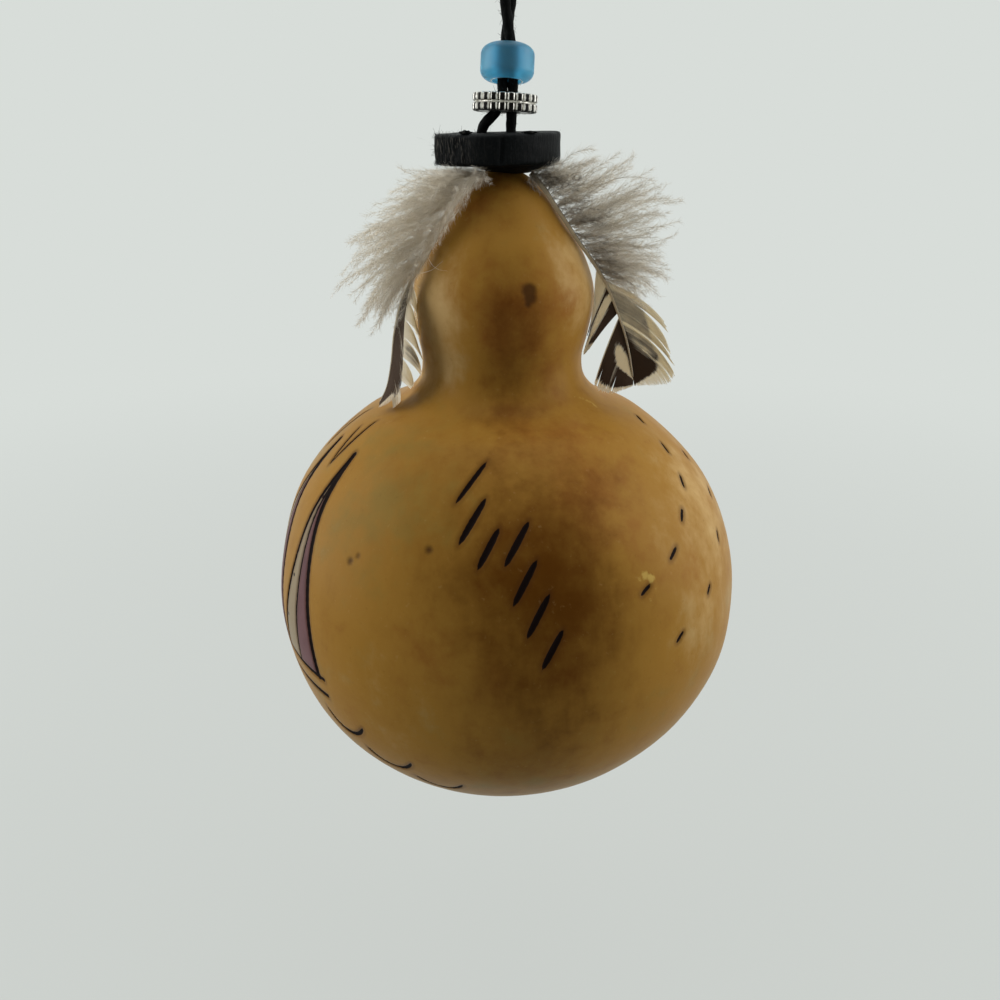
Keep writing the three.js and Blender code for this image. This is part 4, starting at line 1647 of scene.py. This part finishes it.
@dataclass(frozen=True)
class LeatherDisc:
    """The leather disc on the crown, its frayed edge and the scraps of hide on its top."""

    merge_within: float = 0.001
    voxel: float = 0.26
    soft_steps: int = 26
    sag: float = 1.7
    sag_radius: float = 8.0
    top_z: float = -57.6
    bottom_z: float = -62.6
    crease_x: float = -1.0
    crease_half: float = 0.42
    crease_depth: float = 0.6
    raw_right: float = -6.6
    fibre_count: int = 620
    fibre_reach: tuple[float, float] = (0.2, 0.8)
    long_fibres: int = 6
    long_reach: tuple[float, float] = (1.6, 2.4)
    fibre_half: float = 0.035
    fibre_points: int = 4
    fibre_raw: float = 0.7
    fibre_bend: float = 0.5
    scrap_raw: float = 0.45
    seed: int = 4
    scraps: tuple[tuple[Point, Point], ...] = (
        ((-7.0, -8.2, -57.8), (1.0, 0.7, 0.32)), ((3.4, -8.6, -57.75), (1.25, 0.6, 0.2)),
    )

    def body(self) -> BMesh:
        """The CAD disc with small even faces.

        Returns:
            The new mesh.
        """
        bm = bmesh.new()
        bm.from_mesh(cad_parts["leather_disc"].data)
        bmesh.ops.remove_doubles(bm, verts=bm.verts, dist=self.merge_within * MM)
        mesh = bpy.data.meshes.new("disc_copy")
        bm.to_mesh(mesh)
        copy = bpy.data.objects.new("disc_copy", mesh)
        show(copy)
        remesh = copy.modifiers.new("even", "REMESH")
        remesh.mode = "VOXEL"
        remesh.voxel_size = self.voxel * MM
        soften = copy.modifiers.new("soften", "SMOOTH")
        soften.iterations = self.soft_steps
        cut = bpy.data.meshes.new_from_object(copy.evaluated_get(bpy.context.evaluated_depsgraph_get()))
        bm.clear()
        bm.from_mesh(cut)
        bpy.data.objects.remove(copy)
        bpy.data.meshes.remove(mesh)
        bpy.data.meshes.remove(cut)
        return bm

    def rawness(self, places: Array) -> Array:
        """How raw the leather is: most at the left end, a little on the whole edge."""
        return smooth(-places[:, 0], -self.raw_right - 1.6, -self.raw_right + 1.2) * 0.9 + 0.05

    def make(self, finish: Material) -> None:
        """Builds the disc, its loose fibres and the scraps on its top.

        Args:
            finish: The leather.
        """
        bm = self.body()
        bm.normal_update()
        raw, edge = bm.verts.layers.float.new("raw"), bm.verts.layers.float.new("edge")
        rawness = self.rawness(np.array([v.co for v in bm.verts]) / MM)
        for vert, share in zip(bm.verts, rawness):
            place, out = vert.co / MM, vert.normal
            side = max(0.0, 1 - abs(out.z) * 1.5)
            streak = noise.noise((place.x * 2.6, place.y * 2.6, place.z * 0.5))
            clumps = noise.noise((place.x * 0.9, place.y * 0.9, place.z * 0.3 + 7))
            broad = noise.noise((place.x * 0.35, place.y * 0.35, place.z * 0.6))
            lean = (place.z + 60) * 0.06
            crease = math.exp(-((place.x - self.crease_x - lean) / self.crease_half) ** 2) * (out.y < -0.5)
            lift = side * (streak * (0.02 + 0.18 * share) + clumps * 0.22 * share) + broad * 0.08
            lift -= crease * self.crease_depth * side
            middle = max(0.0, 1 - (math.hypot(place.x - 1.0, place.y) / self.sag_radius) ** 2)
            place.z -= self.sag * middle * (out.z < -0.5)
            vert.co = (place + out * lift) * MM
            vert[raw] = share * side + 0.03
            # Painted sheen, strongest where the top turns down into the side.
            vert[edge] = math.exp(-((out.z - 0.6) / 0.25) ** 2)
        made = piece(bm, "disc_of_leather", finish, Slot.LEATHER)
        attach(made, "gourd")
        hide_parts("leather_disc")
        fibres = piece(self.fibres(made), "disc_fibres", finish, Slot.LEATHER)
        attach(fibres, "gourd")
        for number, (centre, half) in enumerate(self.scraps):
            scrap = piece(self.scrap(centre, half, number), f"hide_scrap_{number}", finish, Slot.LEATHER)
            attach(scrap, "gourd")

    def fibres(self, disc: bpy.types.Object) -> BMesh:
        """Short fibres that stand off the raw edge, most of them at the left end.

        Args:
            disc: The disc's piece.

        Returns:
            A mesh of narrow strips.
        """
        rng = np.random.default_rng(self.seed)
        places = np.array([v.co for v in disc.data.vertices]) / MM
        outs = np.array([v.normal for v in disc.data.vertices])
        weight = (np.abs(outs[:, 2]) < 0.75) * (self.rawness(places) ** 2 + 0.02)
        above = places[:, 2] - (self.top_z + self.bottom_z) / 2
        weight *= 0.3 + smooth(np.abs(above), 1.4, 2.4)
        count = self.fibre_count
        chosen = rng.choice(len(places), count, p=weight / weight.sum())
        rawness = self.rawness(places[chosen])[:, None, None]
        reach = rng.uniform(*self.fibre_reach, (count, 1, 1)) * (0.3 + 0.7 * rawness)
        reach[:self.long_fibres] = rng.uniform(*self.long_reach, (self.long_fibres, 1, 1))
        upright = np.sign(above[chosen])[:, None, None] * np.array([0, 0, 1.0])
        bend = rng.normal(0, self.fibre_bend, (count, 1, 3))
        t = shares(self.fibre_points)
        start, out = places[chosen][:, None], outs[chosen][:, None]
        middles = start - out * 0.05 + reach * (out * t * 0.6 + upright * t * 0.75 + bend * t**2)
        sideways = unit(rng.normal(size=(count, 1, 3))) * (self.fibre_half * (1 - TIP_TAPER * t))
        bm = ribbons(middles, np.broadcast_to(sideways, middles.shape))
        mark(bm, "raw", self.fibre_raw)
        return bm

    def scrap(self, centre: Point, half: Point, number: int) -> BMesh:
        """A torn scrap that lies on the disc.

        Args:
            centre: Its middle.
            half: Half its size along each axis.
            number: Its number, which gives it a form of its own.

        Returns:
            The new mesh.
        """
        bm = bmesh.new()
        bmesh.ops.create_icosphere(bm, subdivisions=4, radius=1)
        for vert in bm.verts:
            rough = 1 + 0.35 * noise.noise(vert.co * 2.2 + Vector((number * 5.0, 0, 0)))
            rough += 0.18 * noise.noise(vert.co * 6.5)
            shaped = Vector((vert.co.x * half[0], vert.co.y * half[1], vert.co.z * half[2])) * rough
            vert.co = (shaped + Vector(centre)) * MM
        mark(bm, "raw", self.scrap_raw)
        return bm


# Feathers


@dataclass(frozen=True)
class FeatherFinish:
    """Colours of a shaft, of barbs or of down, from dark to pale."""

    name: str
    light: Colour
    dark: Colour
    mottle: float
    through: float
    strip_spread: float = 977.0
    patch_scale: float = 0.55
    roughness: float = 0.6
    specular: float = 0.06

    def make(self) -> Material:
        """Builds the material: pale where the mesh says so, and varied from barb to barb.

        Returns:
            The material.
        """
        s = Surface(self.name)
        number = s.uv()[0] * self.strip_spread
        strip = s.node("ShaderNodeTexWhiteNoise", {"noise_dimensions": "1D"}, {"W": number}, "Value")
        patch = s.noise(s.place(), self.patch_scale, 3.0, 0.6)
        pale = s.attribute("pale") + (strip - 0.5) * self.mottle + (patch - 0.5) * self.mottle * 0.9
        pale = pale.step(0.15, 0.85)
        colour = s.mix(pale, self.dark, self.light)
        made = s.finish(colour, strip * 0.1 + self.roughness, Specular_IOR_Level=self.specular)
        s.let_light_through(pale * self.through, self.light)
        return made


def hold(bm: BMesh, name: str, tone: Callable[[float, float], float]) -> None:
    """Stores a number at each point of a mesh, worked out from its UV map.

    Args:
        bm: The mesh.
        name: The attribute's name.
        tone: Gives the number for a place across and along.
    """
    layer = bm.verts.layers.float.new(name)
    uv = bm.loops.layers.uv.active
    for face in bm.faces:
        for loop in face.loops:
            loop.vert[layer] = tone(*loop[uv].uv)


@dataclass(frozen=True)
class Quill:
    """A feather's tapered shaft: pale horn with a dark line along its upper side, darker at the root as
    painted shade under the disc.

    Shift and hug move its line aside, the one over its first part and the other round hug_at, and
    forward brings it in front of the barbs.
    """

    name: str
    node: str
    points: tuple[Point, ...]
    root_radius: float = 0.47
    tip_radius: float = 0.13
    shift: float = 0.42
    hug: float = 0.45
    hug_at: float = 0.38
    hug_half: float = 0.14
    forward: float = 0.3
    rounded_part: float = 0.01
    dark_line: float = 0.13
    steps: int = 160
    sides: int = 20

    def route(self) -> Array:
        """The shaft's middle line, moved aside so that it lies along the gourd's edge.

        Returns:
            The route's points.
        """
        route = even(curve_through(self.points, CURVE_STEPS), self.steps)
        side = carried_frames(route)[0]
        toward = np.sign(route[-1, 0] - route[0, 0]) * np.sign(side[:, :1])
        share = np.linspace(0, 1, len(route))[:, None]
        aside = self.shift * (1 - share**2) * smooth(share, 0.0, 0.15)
        aside = aside + self.hug * np.exp(-(((share - self.hug_at) / self.hug_half) ** 2))
        return route - side * toward * aside

    def make(self, body: str, finish: Material) -> None:
        """Builds the shaft.

        Args:
            body: The body that it moves with.
            finish: Its material.
        """
        def radius(u: Array, w: Array) -> Array:
            """Thinner to the tip, and rounded there."""
            rounded = np.sqrt(np.clip((1 - w) / self.rounded_part, 0.05, 1))
            return (self.root_radius + (self.tip_radius - self.root_radius) * w) * rounded

        def tone(u: float, w: float) -> float:
            """Dark on the line and towards the tip, and darker at the root as painted shade under the disc.
            """
            near = min(u, 1 - u) / self.dark_line
            return min(1.0, near**2) * (0.95 - 0.12 * w) * min(1.0, 0.3 + w * 5)

        route = self.route()
        share = np.linspace(0, 1, len(route))[:, None]
        in_front = route - np.array([0.0, self.forward, 0.0]) * smooth(share, 0.2, 0.6)
        bm = tube(in_front, self.sides, radius)
        hold(bm, "pale", tone)
        made = piece(bm, self.name, finish, Slot.QUILL)
        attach(made, body)
        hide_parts(self.node)


@dataclass(frozen=True)
class Patch:
    """A pale or dark patch of a web, by its place along the shaft and out along the barbs."""

    along: float
    out: float
    half_along: float
    half_out: float
    change: float


@dataclass(frozen=True)
class Web:
    """One web of a vane: flat barbs side by side from the shaft to their tips.

    Span holds the shares of the shaft between which the barbs grow, and a split is a place
    along the web with the gap there in millimetres. Neighbours lie in layers, one above another.
    """

    name: str
    node: str
    span: tuple[float, float]
    tips: tuple[Point, ...]
    barbs: int = 90
    half_width: float = 0.17
    bow: Point = (0.0, 0.0, 0.0)
    pale: float = 0.0
    patches: tuple[Patch, ...] = ()
    splits: tuple[tuple[float, float], ...] = ()
    split_reach: float = 8.0
    split_power: float = 1.6
    uneven_length: float = 0.015
    uneven_way: float = 0.03
    layers: int = 3
    layer_step: float = 0.03
    points: int = 15
    seed: int = 1

    def tone(self, along: float, out: float) -> float:
        """How pale the web is at a place.

        Args:
            along: The place along the web, 0 to 1.
            out: The place out along the barbs, 0 to 1.

        Returns:
            The paleness, 0 to 1.
        """
        tone = self.pale
        for patch in self.patches:
            away = math.hypot((along - patch.along) / patch.half_along, (out - patch.out) / patch.half_out)
            tone += patch.change * max(0.0, min(1.0, (1.12 - away) * 4))
        return max(0.0, min(1.0, tone))

    def make(self, body: str, shaft: Array, finish: Material) -> None:
        """Builds the web.

        Args:
            body: The body that it moves with.
            shaft: The middle line of the feather's shaft.
            finish: Its material.
        """
        rng = np.random.default_rng(self.seed)
        share = np.linspace(0, 1, self.barbs)
        root = (self.span[0] + (self.span[1] - self.span[0]) * share) * (len(shaft) - 1)
        tips = curve_through(self.tips, CURVE_STEPS)
        start = sampled(shaft, np.arange(len(shaft)), root)
        end = sampled(tips, np.arange(len(tips)), share * CURVE_STEPS)
        t = shares(self.points)
        reach = (end - start)[:, None]
        across = unit(np.gradient(start, axis=0) + np.gradient(end, axis=0))[:, None]
        flat = unit(across - unit(reach) * np.sum(across * unit(reach), axis=2, keepdims=True))
        spread = np.zeros(self.barbs)
        for place, gap in self.splits:
            side = share - place
            spread += np.sign(side) * gap / 2 * np.exp(-np.abs(side) * self.barbs / self.split_reach)
        longer = 1 + rng.normal(0, self.uneven_length, self.barbs)[:, None, None]
        size = np.linalg.norm(reach, axis=2, keepdims=True)
        bow = np.asarray(self.bow) * size / size.max()
        middles = start[:, None] + reach * t * longer + bow * (4 * t * (1 - t))
        middles = middles + flat * spread[:, None, None] * t**self.split_power
        facing = unit(np.cross(unit(reach), flat))
        layer = np.arange(self.barbs) % self.layers * self.layer_step - self.layer_step
        middles = middles + facing * layer[:, None, None]
        middles = middles + flat * rng.normal(0, self.uneven_way, (self.barbs, 1, 1)) * t
        width = self.half_width * (1 - TIP_TAPER * t**4) * np.ones_like(spread)[:, None, None]
        bm = ribbons(middles, flat * width)
        hold(bm, "pale", self.tone)
        made = piece(bm, self.name, finish, Slot.VANE)
        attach(made, body)
        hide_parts(self.node)


@dataclass(frozen=True)
class Tuft:
    """A row of soft barbs between key barbs: each key is a root along the shaft, a tip and a bow."""

    keys: tuple[tuple[float, Point, float], ...]
    barbs: int
    depth: float = 2.6
    barbule: float = 2.3
    shade: float = 0.0


@dataclass(frozen=True)
class Curl:
    """A small tangle of dark barbs."""

    centre: Point
    radius: float
    strands: int = 9
    points: int = 26


@dataclass(frozen=True)
class Down:
    """The soft part of a feather: long barbs with very fine barbules.

    Drift is how far a barb's tip strays sideways and in height, wave how far a barb sways, and
    mix_up how far a barb leaves its place in the row. Length_spread is the mean and the spread of
    the barbs' lengths.
    """

    name: str
    node: str
    tufts: tuple[Tuft, ...]
    held_at: Point
    free_at: Point
    curls: tuple[Curl, ...] = ()
    strays: tuple[tuple[Point, ...], ...] = ()
    spacing: float = 0.053
    barb_half: float = 0.042
    barbule_half: float = 0.02
    barb_points: int = 22
    barbule_points: int = 3
    curl_half: float = 0.05
    curl_pale: float = -0.2
    stray_half: float = 0.06
    stray_pale: float = 1.0
    stray_steps: int = 24
    drift: Point = (0.8, 1.0)
    wave: float = 0.25
    mix_up: float = 0.45
    length_spread: tuple[float, float] = (0.86, 0.17)
    length_limits: tuple[float, float] = (0.4, 1.06)
    bow_spread: float = 0.06
    barbule_slant: tuple[float, float] = (0.4, 1.2)
    barbule_share: tuple[float, float] = (0.3, 1.0)
    barbule_bend: float = 0.35
    barbule_stray: float = 0.14
    pale: float = 0.5
    dark_tips: float = 1.7
    seed: int = 1

    def barb_lines(self, tuft: Tuft, shaft: Array, rng: np.random.Generator) -> Array:
        """The middle lines of a tuft's barbs.

        Args:
            tuft: The tuft.
            shaft: The middle line of the feather's shaft.
            rng: The source of chance.

        Returns:
            An array of barbs by points by 3.
        """
        count, last = tuft.barbs, len(tuft.keys) - 1
        order = np.clip(np.linspace(0, last, count) + rng.uniform(-self.mix_up, self.mix_up, count), 0, last)
        number = np.arange(last + 1)
        roots, tips, bows = zip(*tuft.keys)
        root = np.interp(order, number, roots)
        tip = sampled(np.array(tips), number, order)
        bow = np.interp(order, number, bows)[:, None]
        start = shaft[np.clip(np.rint(root * (len(shaft) - 1)).astype(int), 0, len(shaft) - 1)]
        scale = np.clip(rng.normal(*self.length_spread, count), *self.length_limits)[:, None]
        stray = rng.normal(0, 1, (count, 3)) * (self.drift[0], tuft.depth / 2, self.drift[1])
        end = start + (tip - start) * scale + stray
        length = np.linalg.norm(end - start, axis=1, keepdims=True)
        uneven = rng.normal(0, self.bow_spread, (count, 3)) * length
        lift = np.array([0.0, 0.0, 1.0]) * bow * length + uneven
        t = shares(self.barb_points)
        line = start[:, None] + (end - start)[:, None] * t + lift[:, None] * (4 * t * (1 - t))
        turn = rng.uniform(0, 2 * math.pi, (count, 1, 3)) + t * rng.uniform(5, 12, (count, 1, 3))
        return line + np.sin(turn) * t * self.wave

    def barbules(self, lines: Array, reach: float,
                 rng: np.random.Generator) -> tuple[Array, Array]:
        """The barbules on some barbs.

        Args:
            lines: The barbs' middle lines.
            reach: The length of the longest barbules.
            rng: The source of chance.

        Returns:
            The barbules' middle lines and the vectors to their edges.
        """
        starts, ways, places = [], [], []
        for line in lines:
            at = length_along(line)
            wanted = np.sort(rng.uniform(0.02, 1, int(at[-1] / self.spacing))) * at[-1]
            places.append(wanted / at[-1])
            starts.append(sampled(line, at, wanted))
            ways.append(sampled(unit(np.gradient(line, axis=0)), at, wanted))
        start, way = np.vstack(starts), unit(np.vstack(ways))
        count = len(start)
        out = unit(np.cross(way, rng.normal(size=(count, 3))))
        slant = rng.uniform(*self.barbule_slant, (count, 1))
        first = unit(way * np.cos(slant) + out * np.sin(slant))
        share = np.concatenate(places)
        room = np.minimum(1, 0.35 + share * 3) * (1 - 0.6 * share**2)
        length = (reach * rng.uniform(*self.barbule_share, count) * room)[:, None, None]
        t = shares(self.barbule_points)
        middles = start[:, None] + length * (first[:, None] * t + way[:, None] * self.barbule_bend * t**2)
        middles = middles + rng.normal(0, self.barbule_stray, (count, 1, 3)) * t**2
        edge = unit(np.cross(first, rng.normal(size=(count, 3))))[:, None]
        return middles, edge * self.barbule_half * (1 - TIP_TAPER * t)

    def strips(self, lines: Array, half: float, rng: np.random.Generator) -> BMesh:
        """Narrow strips along some lines, thinner to their ends."""
        edge = unit(rng.normal(size=(len(lines), 1, 3))) * half * (1 - 0.75 * shares(lines.shape[1]))
        return ribbons(lines, np.broadcast_to(edge, lines.shape))

    def tangle(self, curl: Curl, rng: np.random.Generator) -> Array:
        """The middle lines of a curl's strands.

        Args:
            curl: The curl.
            rng: The source of chance.

        Returns:
            An array of strands by points by 3.
        """
        t = shares(curl.points)
        drawn = rng.uniform(0, 2 * math.pi, (2, curl.strands, 1, 1))
        start, turns = drawn * np.array([1, 0.35])[:, None, None, None]
        angle = start + t * (3.5 + turns * 2)
        size = curl.radius * rng.uniform(0.45, 1.0, (curl.strands, 1, 1))
        size = size * (0.7 + 0.3 * np.sin(t * 5 + start))
        ring = np.concatenate([np.cos(angle) * 1.15, np.sin(angle * 1.3) * 0.5, np.sin(angle) * 0.85], axis=2)
        return np.asarray(curl.centre) + ring * size

    def make(self, body: str, shaft: Array, finish: Material) -> None:
        """Builds the down.

        Args:
            body: Not used.
            shaft: The middle line of the feather's shaft.
            finish: Its material.
        """
        rng = np.random.default_rng(self.seed)
        bm = bmesh.new()
        bm.loops.layers.uv.new("UVMap")
        bm.verts.layers.float.new("pale")

        def add(strips: BMesh, pale: float, darker: float = 0.0) -> None:
            """Adds strips.

            Args:
                strips: The mesh of strips.
                pale: How pale they are.
                darker: How fast they grow darker over their outer half.
            """
            def tone(across: float, along: float) -> float:
                """Darker over the outer half."""
                return pale - darker * max(0.0, along - 0.5)

            hold(strips, "pale", tone)
            add_mesh(bm, strips)

        for tuft in self.tufts:
            pale = self.pale - tuft.shade
            lines = self.barb_lines(tuft, shaft, rng)
            add(self.strips(lines, self.barb_half, rng), pale, self.dark_tips)
            add(ribbons(*self.barbules(lines, tuft.barbule, rng)), pale)
        for curl in self.curls:
            add(self.strips(self.tangle(curl, rng), self.curl_half, rng), self.curl_pale)
        for stray in self.strays:
            line = curve_through(stray, self.stray_steps)
            add(self.strips(line[None], self.stray_half, rng), self.stray_pale)
        made = piece(bm, self.name, finish, Slot.DOWN)
        start, end = (tuple(c * MM for c in point) for point in (self.held_at, self.free_at))
        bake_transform(made)
        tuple(start)
        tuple(end)
        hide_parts(self.node)


@dataclass(frozen=True)
class Feather:
    """One feather: shaft, webs and down."""

    body: str
    quill: Quill
    webs: tuple[Web, ...]
    down: Down

    def make(self, quill: Material, vane: Material, down: Material) -> None:
        """Builds the feather.

        Args:
            quill: The shaft's material.
            vane: The webs' material.
            down: The down's material.
        """
        shaft = self.quill.route()
        self.quill.make(self.body, quill)
        for web in self.webs:
            web.make(self.body, shaft, vane)
        self.down.make(self.body, shaft, down)


def right_feather() -> Feather:
    """The feather on the right, seen flat: two webs on its inner side and one outside.

    Returns:
        The feather.
    """
    quill = Quill("right_shaft", "right_quill", (
        (3.8, -4.0, -64.0), (6.5, -4.0, -66.6), (8.6, -4.0, -69.3), (10.7, -4.0, -72.0),
        (12.6, -4.0, -74.4), (14.4, -4.0, -76.7), (16.5, -4.0, -80.1), (18.0, -4.0, -83.0),
        (19.2, -4.0, -85.8), (21.0, -4.0, -90.6), (22.0, -4.0, -94.2), (22.9, -4.0, -99.0)))
    outer = Web("right_web_outer", "right_vane_outer", (0.555, 1.0),
                ((27.7, -5.0, -88.9), (28.6, -5.1, -92.6), (29.3, -5.1, -95.6), (30.1, -5.0, -98.2),
                 (29.4, -5.0, -99.8), (26.6, -4.8, -100.4), (23.2, -4.4, -100.6)),
                barbs=110, half_width=0.15, bow=(0.7, -0.4, 0.6),
                patches=(Patch(0.3, 0.98, 0.66, 0.4, 1.0), Patch(0.2, 0.3, 0.46, 0.42, 0.55),
                         Patch(0.02, 0.5, 0.06, 0.6, 0.6), Patch(0.43, 0.5, 0.02, 0.7, 0.9),
                         Patch(0.62, 0.7, 0.015, 0.4, 0.7), Patch(0.85, 0.9, 0.14, 0.22, 0.4)),
                splits=((0.1, 0.9), (0.28, 0.35), (0.42, 0.9), (0.6, 0.3)), seed=2)
    inner = Web("right_web_inner", "right_vane_inner", (0.49, 0.7),
                ((15.4, -4.8, -86.0), (14.6, -5.0, -90.4), (13.7, -5.2, -94.6), (14.6, -5.2, -93.6)),
                barbs=56, half_width=0.14, bow=(-0.3, -0.3, 0.2),
                patches=(Patch(0.1, 0.4, 0.34, 0.9, 0.9), Patch(0.62, 0.42, 0.13, 0.5, 1.0),
                         Patch(0.9, 0.92, 0.5, 0.12, 0.7)),
                splits=((0.4, 0.35),), seed=3)
    tail = Web("right_web_tail", "right_vane_tail", (0.725, 1.0),
               ((15.9, -4.9, -100.2), (17.0, -5.0, -101.3), (18.9, -5.0, -101.8), (21.2, -4.9, -101.2),
                (22.9, -4.6, -100.6)),
               barbs=80, half_width=0.14, bow=(-0.2, -0.3, 0.2),
               patches=(Patch(0.62, 0.3, 0.42, 0.17, 1.0), Patch(0.5, 1.0, 0.8, 0.1, 0.9),
                        Patch(0.0, 0.5, 0.03, 0.6, 0.7), Patch(0.42, 0.55, 0.03, 0.35, 0.4)),
               splits=((0.1, 0.3), (0.5, 0.2)), seed=4)
    top = Tuft((
        (0.0, (8.0, -5.4, -63.4), 0.1), (0.06, (12.0, -5.6, -62.6), 0.1),
        (0.12, (16.4, -5.5, -61.6), 0.02), (0.19, (22.3, -5.8, -63.2), 0.0),
        (0.25, (26.1, -5.5, -66.0), 0.0), (0.3, (28.4, -5.0, -69.1), 0.0),
        (0.36, (28.6, -5.0, -72.4), 0.0), (0.41, (28.6, -5.0, -76.0), 0.02),
        (0.46, (27.9, -5.0, -79.6), 0.04), (0.51, (27.7, -5.0, -83.4), 0.07),
        (0.55, (25.4, -5.2, -87.0), 0.12)), barbs=126)
    short = Tuft((
        (0.0, (3.4, -5.8, -66.2), 0.0), (0.0, (6.6, -5.4, -64.2), 0.1),
        (0.04, (9.0, -5.6, -64.8), 0.1),
        (0.12, (12.0, -5.6, -67.0), 0.05), (0.22, (15.4, -5.5, -70.4), 0.0),
        (0.33, (18.6, -5.4, -75.0), 0.0), (0.43, (20.6, -5.4, -79.8), 0.0),
        (0.5, (21.8, -5.2, -84.0), 0.0)), barbs=70, depth=1.2, barbule=1.5, shade=0.25)
    down = Down("right_fluff", "right_down", (top, short), (8.0, -5.0, -64.0), (17.0, -5.0, -74.0),
                curls=(Curl((11.6, -5.6, -64.8), 1.15),), pale=0.66, seed=21)
    return Feather("right_feather", quill, (outer, inner, tail), down)


def left_feather() -> Feather:
    """The feather on the left, seen nearly edge-on: a dark web to the front and a pale one behind.

    Returns:
        The feather.
    """
    quill = Quill("left_shaft", "left_quill", (
        (-4.6, -5.0, -63.9), (-6.2, -6.6, -65.6), (-7.9, -7.6, -67.4), (-9.9, -8.2, -70.0),
        (-12.2, -8.4, -74.2), (-14.4, -8.4, -78.0), (-16.6, -8.0, -81.3), (-18.6, -7.6, -85.4),
        (-20.0, -7.3, -90.4), (-20.8, -7.0, -95.8), (-21.9, -6.6, -100.4), (-23.3, -6.3, -103.2)),
        root_radius=0.42, tip_radius=0.1, shift=0.0, hug=0.0, forward=0.0)
    outer = Web("left_web_outer", "left_vane_outer", (0.5, 1.0),
                ((-17.9, -12.6, -87.0), (-17.9, -13.0, -91.0), (-18.1, -13.0, -94.6), (-18.5, -12.6, -97.8),
                 (-19.3, -11.8, -100.2), (-21.3, -10.4, -102.4), (-23.2, -8.6, -103.6)),
                barbs=110, half_width=0.17, bow=(0.2, -0.3, 0.0),
                patches=(Patch(0.93, 0.9, 0.2, 0.26, 1.0),), splits=((0.3, 0.3), (0.62, 0.3)), seed=5)
    inner = Web("left_web_inner", "left_vane_inner", (0.5, 0.93),
                ((-16.6, -5.4, -88.0), (-16.2, -4.4, -91.4), (-15.7, -3.8, -94.6), (-15.9, -3.4, -97.4),
                 (-16.9, -3.4, -100.2), (-18.3, -4.2, -101.8), (-20.3, -7.6, -105.0)),
                barbs=70, half_width=0.15, bow=(0.7, 0.2, 0.3), pale=0.95,
                patches=(Patch(0.5, 0.0, 0.6, 0.12, -0.5), Patch(0.55, 0.6, 0.1, 0.3, -0.35),
                         Patch(0.86, 0.5, 0.05, 0.3, -0.3)),
                splits=((0.12, 1.3), (0.3, 1.6), (0.46, 1.0), (0.64, 2.2), (0.86, 3.2)), seed=6)
    side = Tuft((
        (0.0, (-9.5, -9.5, -65.7), 0.02), (0.01, (-14.0, -9.5, -65.3), 0.02),
        (0.03, (-17.2, -9.5, -64.6), 0.02), (0.06, (-19.2, -9.5, -67.2), 0.02),
        (0.1, (-22.6, -9.5, -69.7), 0.02), (0.14, (-25.6, -9.5, -73.6), 0.02),
        (0.19, (-28.0, -9.5, -77.4), 0.03), (0.24, (-27.8, -9.5, -80.6), 0.05),
        (0.3, (-26.8, -9.5, -84.0), 0.07), (0.36, (-25.5, -9.0, -87.4), 0.1),
        (0.42, (-23.0, -8.6, -90.0), 0.12), (0.47, (-20.6, -8.6, -90.6), 0.1)),
        barbs=134)
    front = Tuft((
        (0.0, (-3.4, -9.8, -65.2), 0.1), (0.0, (-5.6, -10.4, -64.8), 0.1),
        (0.0, (-6.8, -11.0, -66.8), 0.1),
        (0.04, (-9.0, -11.6, -69.6), 0.08), (0.1, (-11.6, -12.0, -73.0), 0.05),
        (0.17, (-14.2, -12.0, -76.6), 0.03), (0.26, (-16.8, -11.6, -80.0), 0.0),
        (0.34, (-18.8, -11.0, -83.0), 0.0)), barbs=44, depth=1.2, barbule=1.6)
    strays = (
        ((-13.6, -9.4, -77.2), (-12.6, -12.0, -78.4), (-11.6, -12.4, -79.0), (-10.2, -12.4, -79.2)),
        ((-15.4, -9.4, -80.0), (-14.2, -11.6, -79.6), (-12.6, -12.4, -79.0), (-10.9, -12.6, -77.6)),
        ((-15.8, -9.0, -80.6), (-16.6, -10.0, -82.8), (-16.2, -10.4, -84.4)),
        ((-15.6, -9.2, -80.4), (-17.6, -10.6, -83.6), (-18.4, -10.8, -86.2)),
    )
    down = Down("left_fluff", "left_down", (side, front), (-8.0, -8.0, -63.5), (-17.0, -8.0, -74.0),
                strays=strays, pale=0.76, seed=22)
    return Feather("left_feather", quill, (outer, inner), down)


def make_feathers() -> None:
    """Builds both feathers with their finishes."""
    quill = FeatherFinish("feather_quill", srgb(240, 230, 208), srgb(84, 66, 50), 0.1, 0.45).make()
    vane = FeatherFinish("feather_vane", srgb(244, 237, 219), srgb(72, 57, 45), 0.3, 0.6).make()
    down = FeatherFinish("feather_down", srgb(238, 232, 220), srgb(92, 83, 74), 0.4, 0.6).make()
    for feather in (right_feather(), left_feather()):
        feather.make(quill, vane, down)


def main() -> None:
    """Builds the scene in order."""
    logging.basicConfig(level=logging.INFO, format="%(message)s")
    view = Viewpoint()
    view.make()
    Studio().make()
    Cordage().make(WaxedCord().make())
    Gourd().make(view, GourdSkin().make())
    GlassBead().make(FrostedGlass().make())
    SpacerBead().make(OldSilver().make())
    LeatherDisc().make(BlackLeather().make())
    make_feathers()


if __name__ == "__main__":
    main()
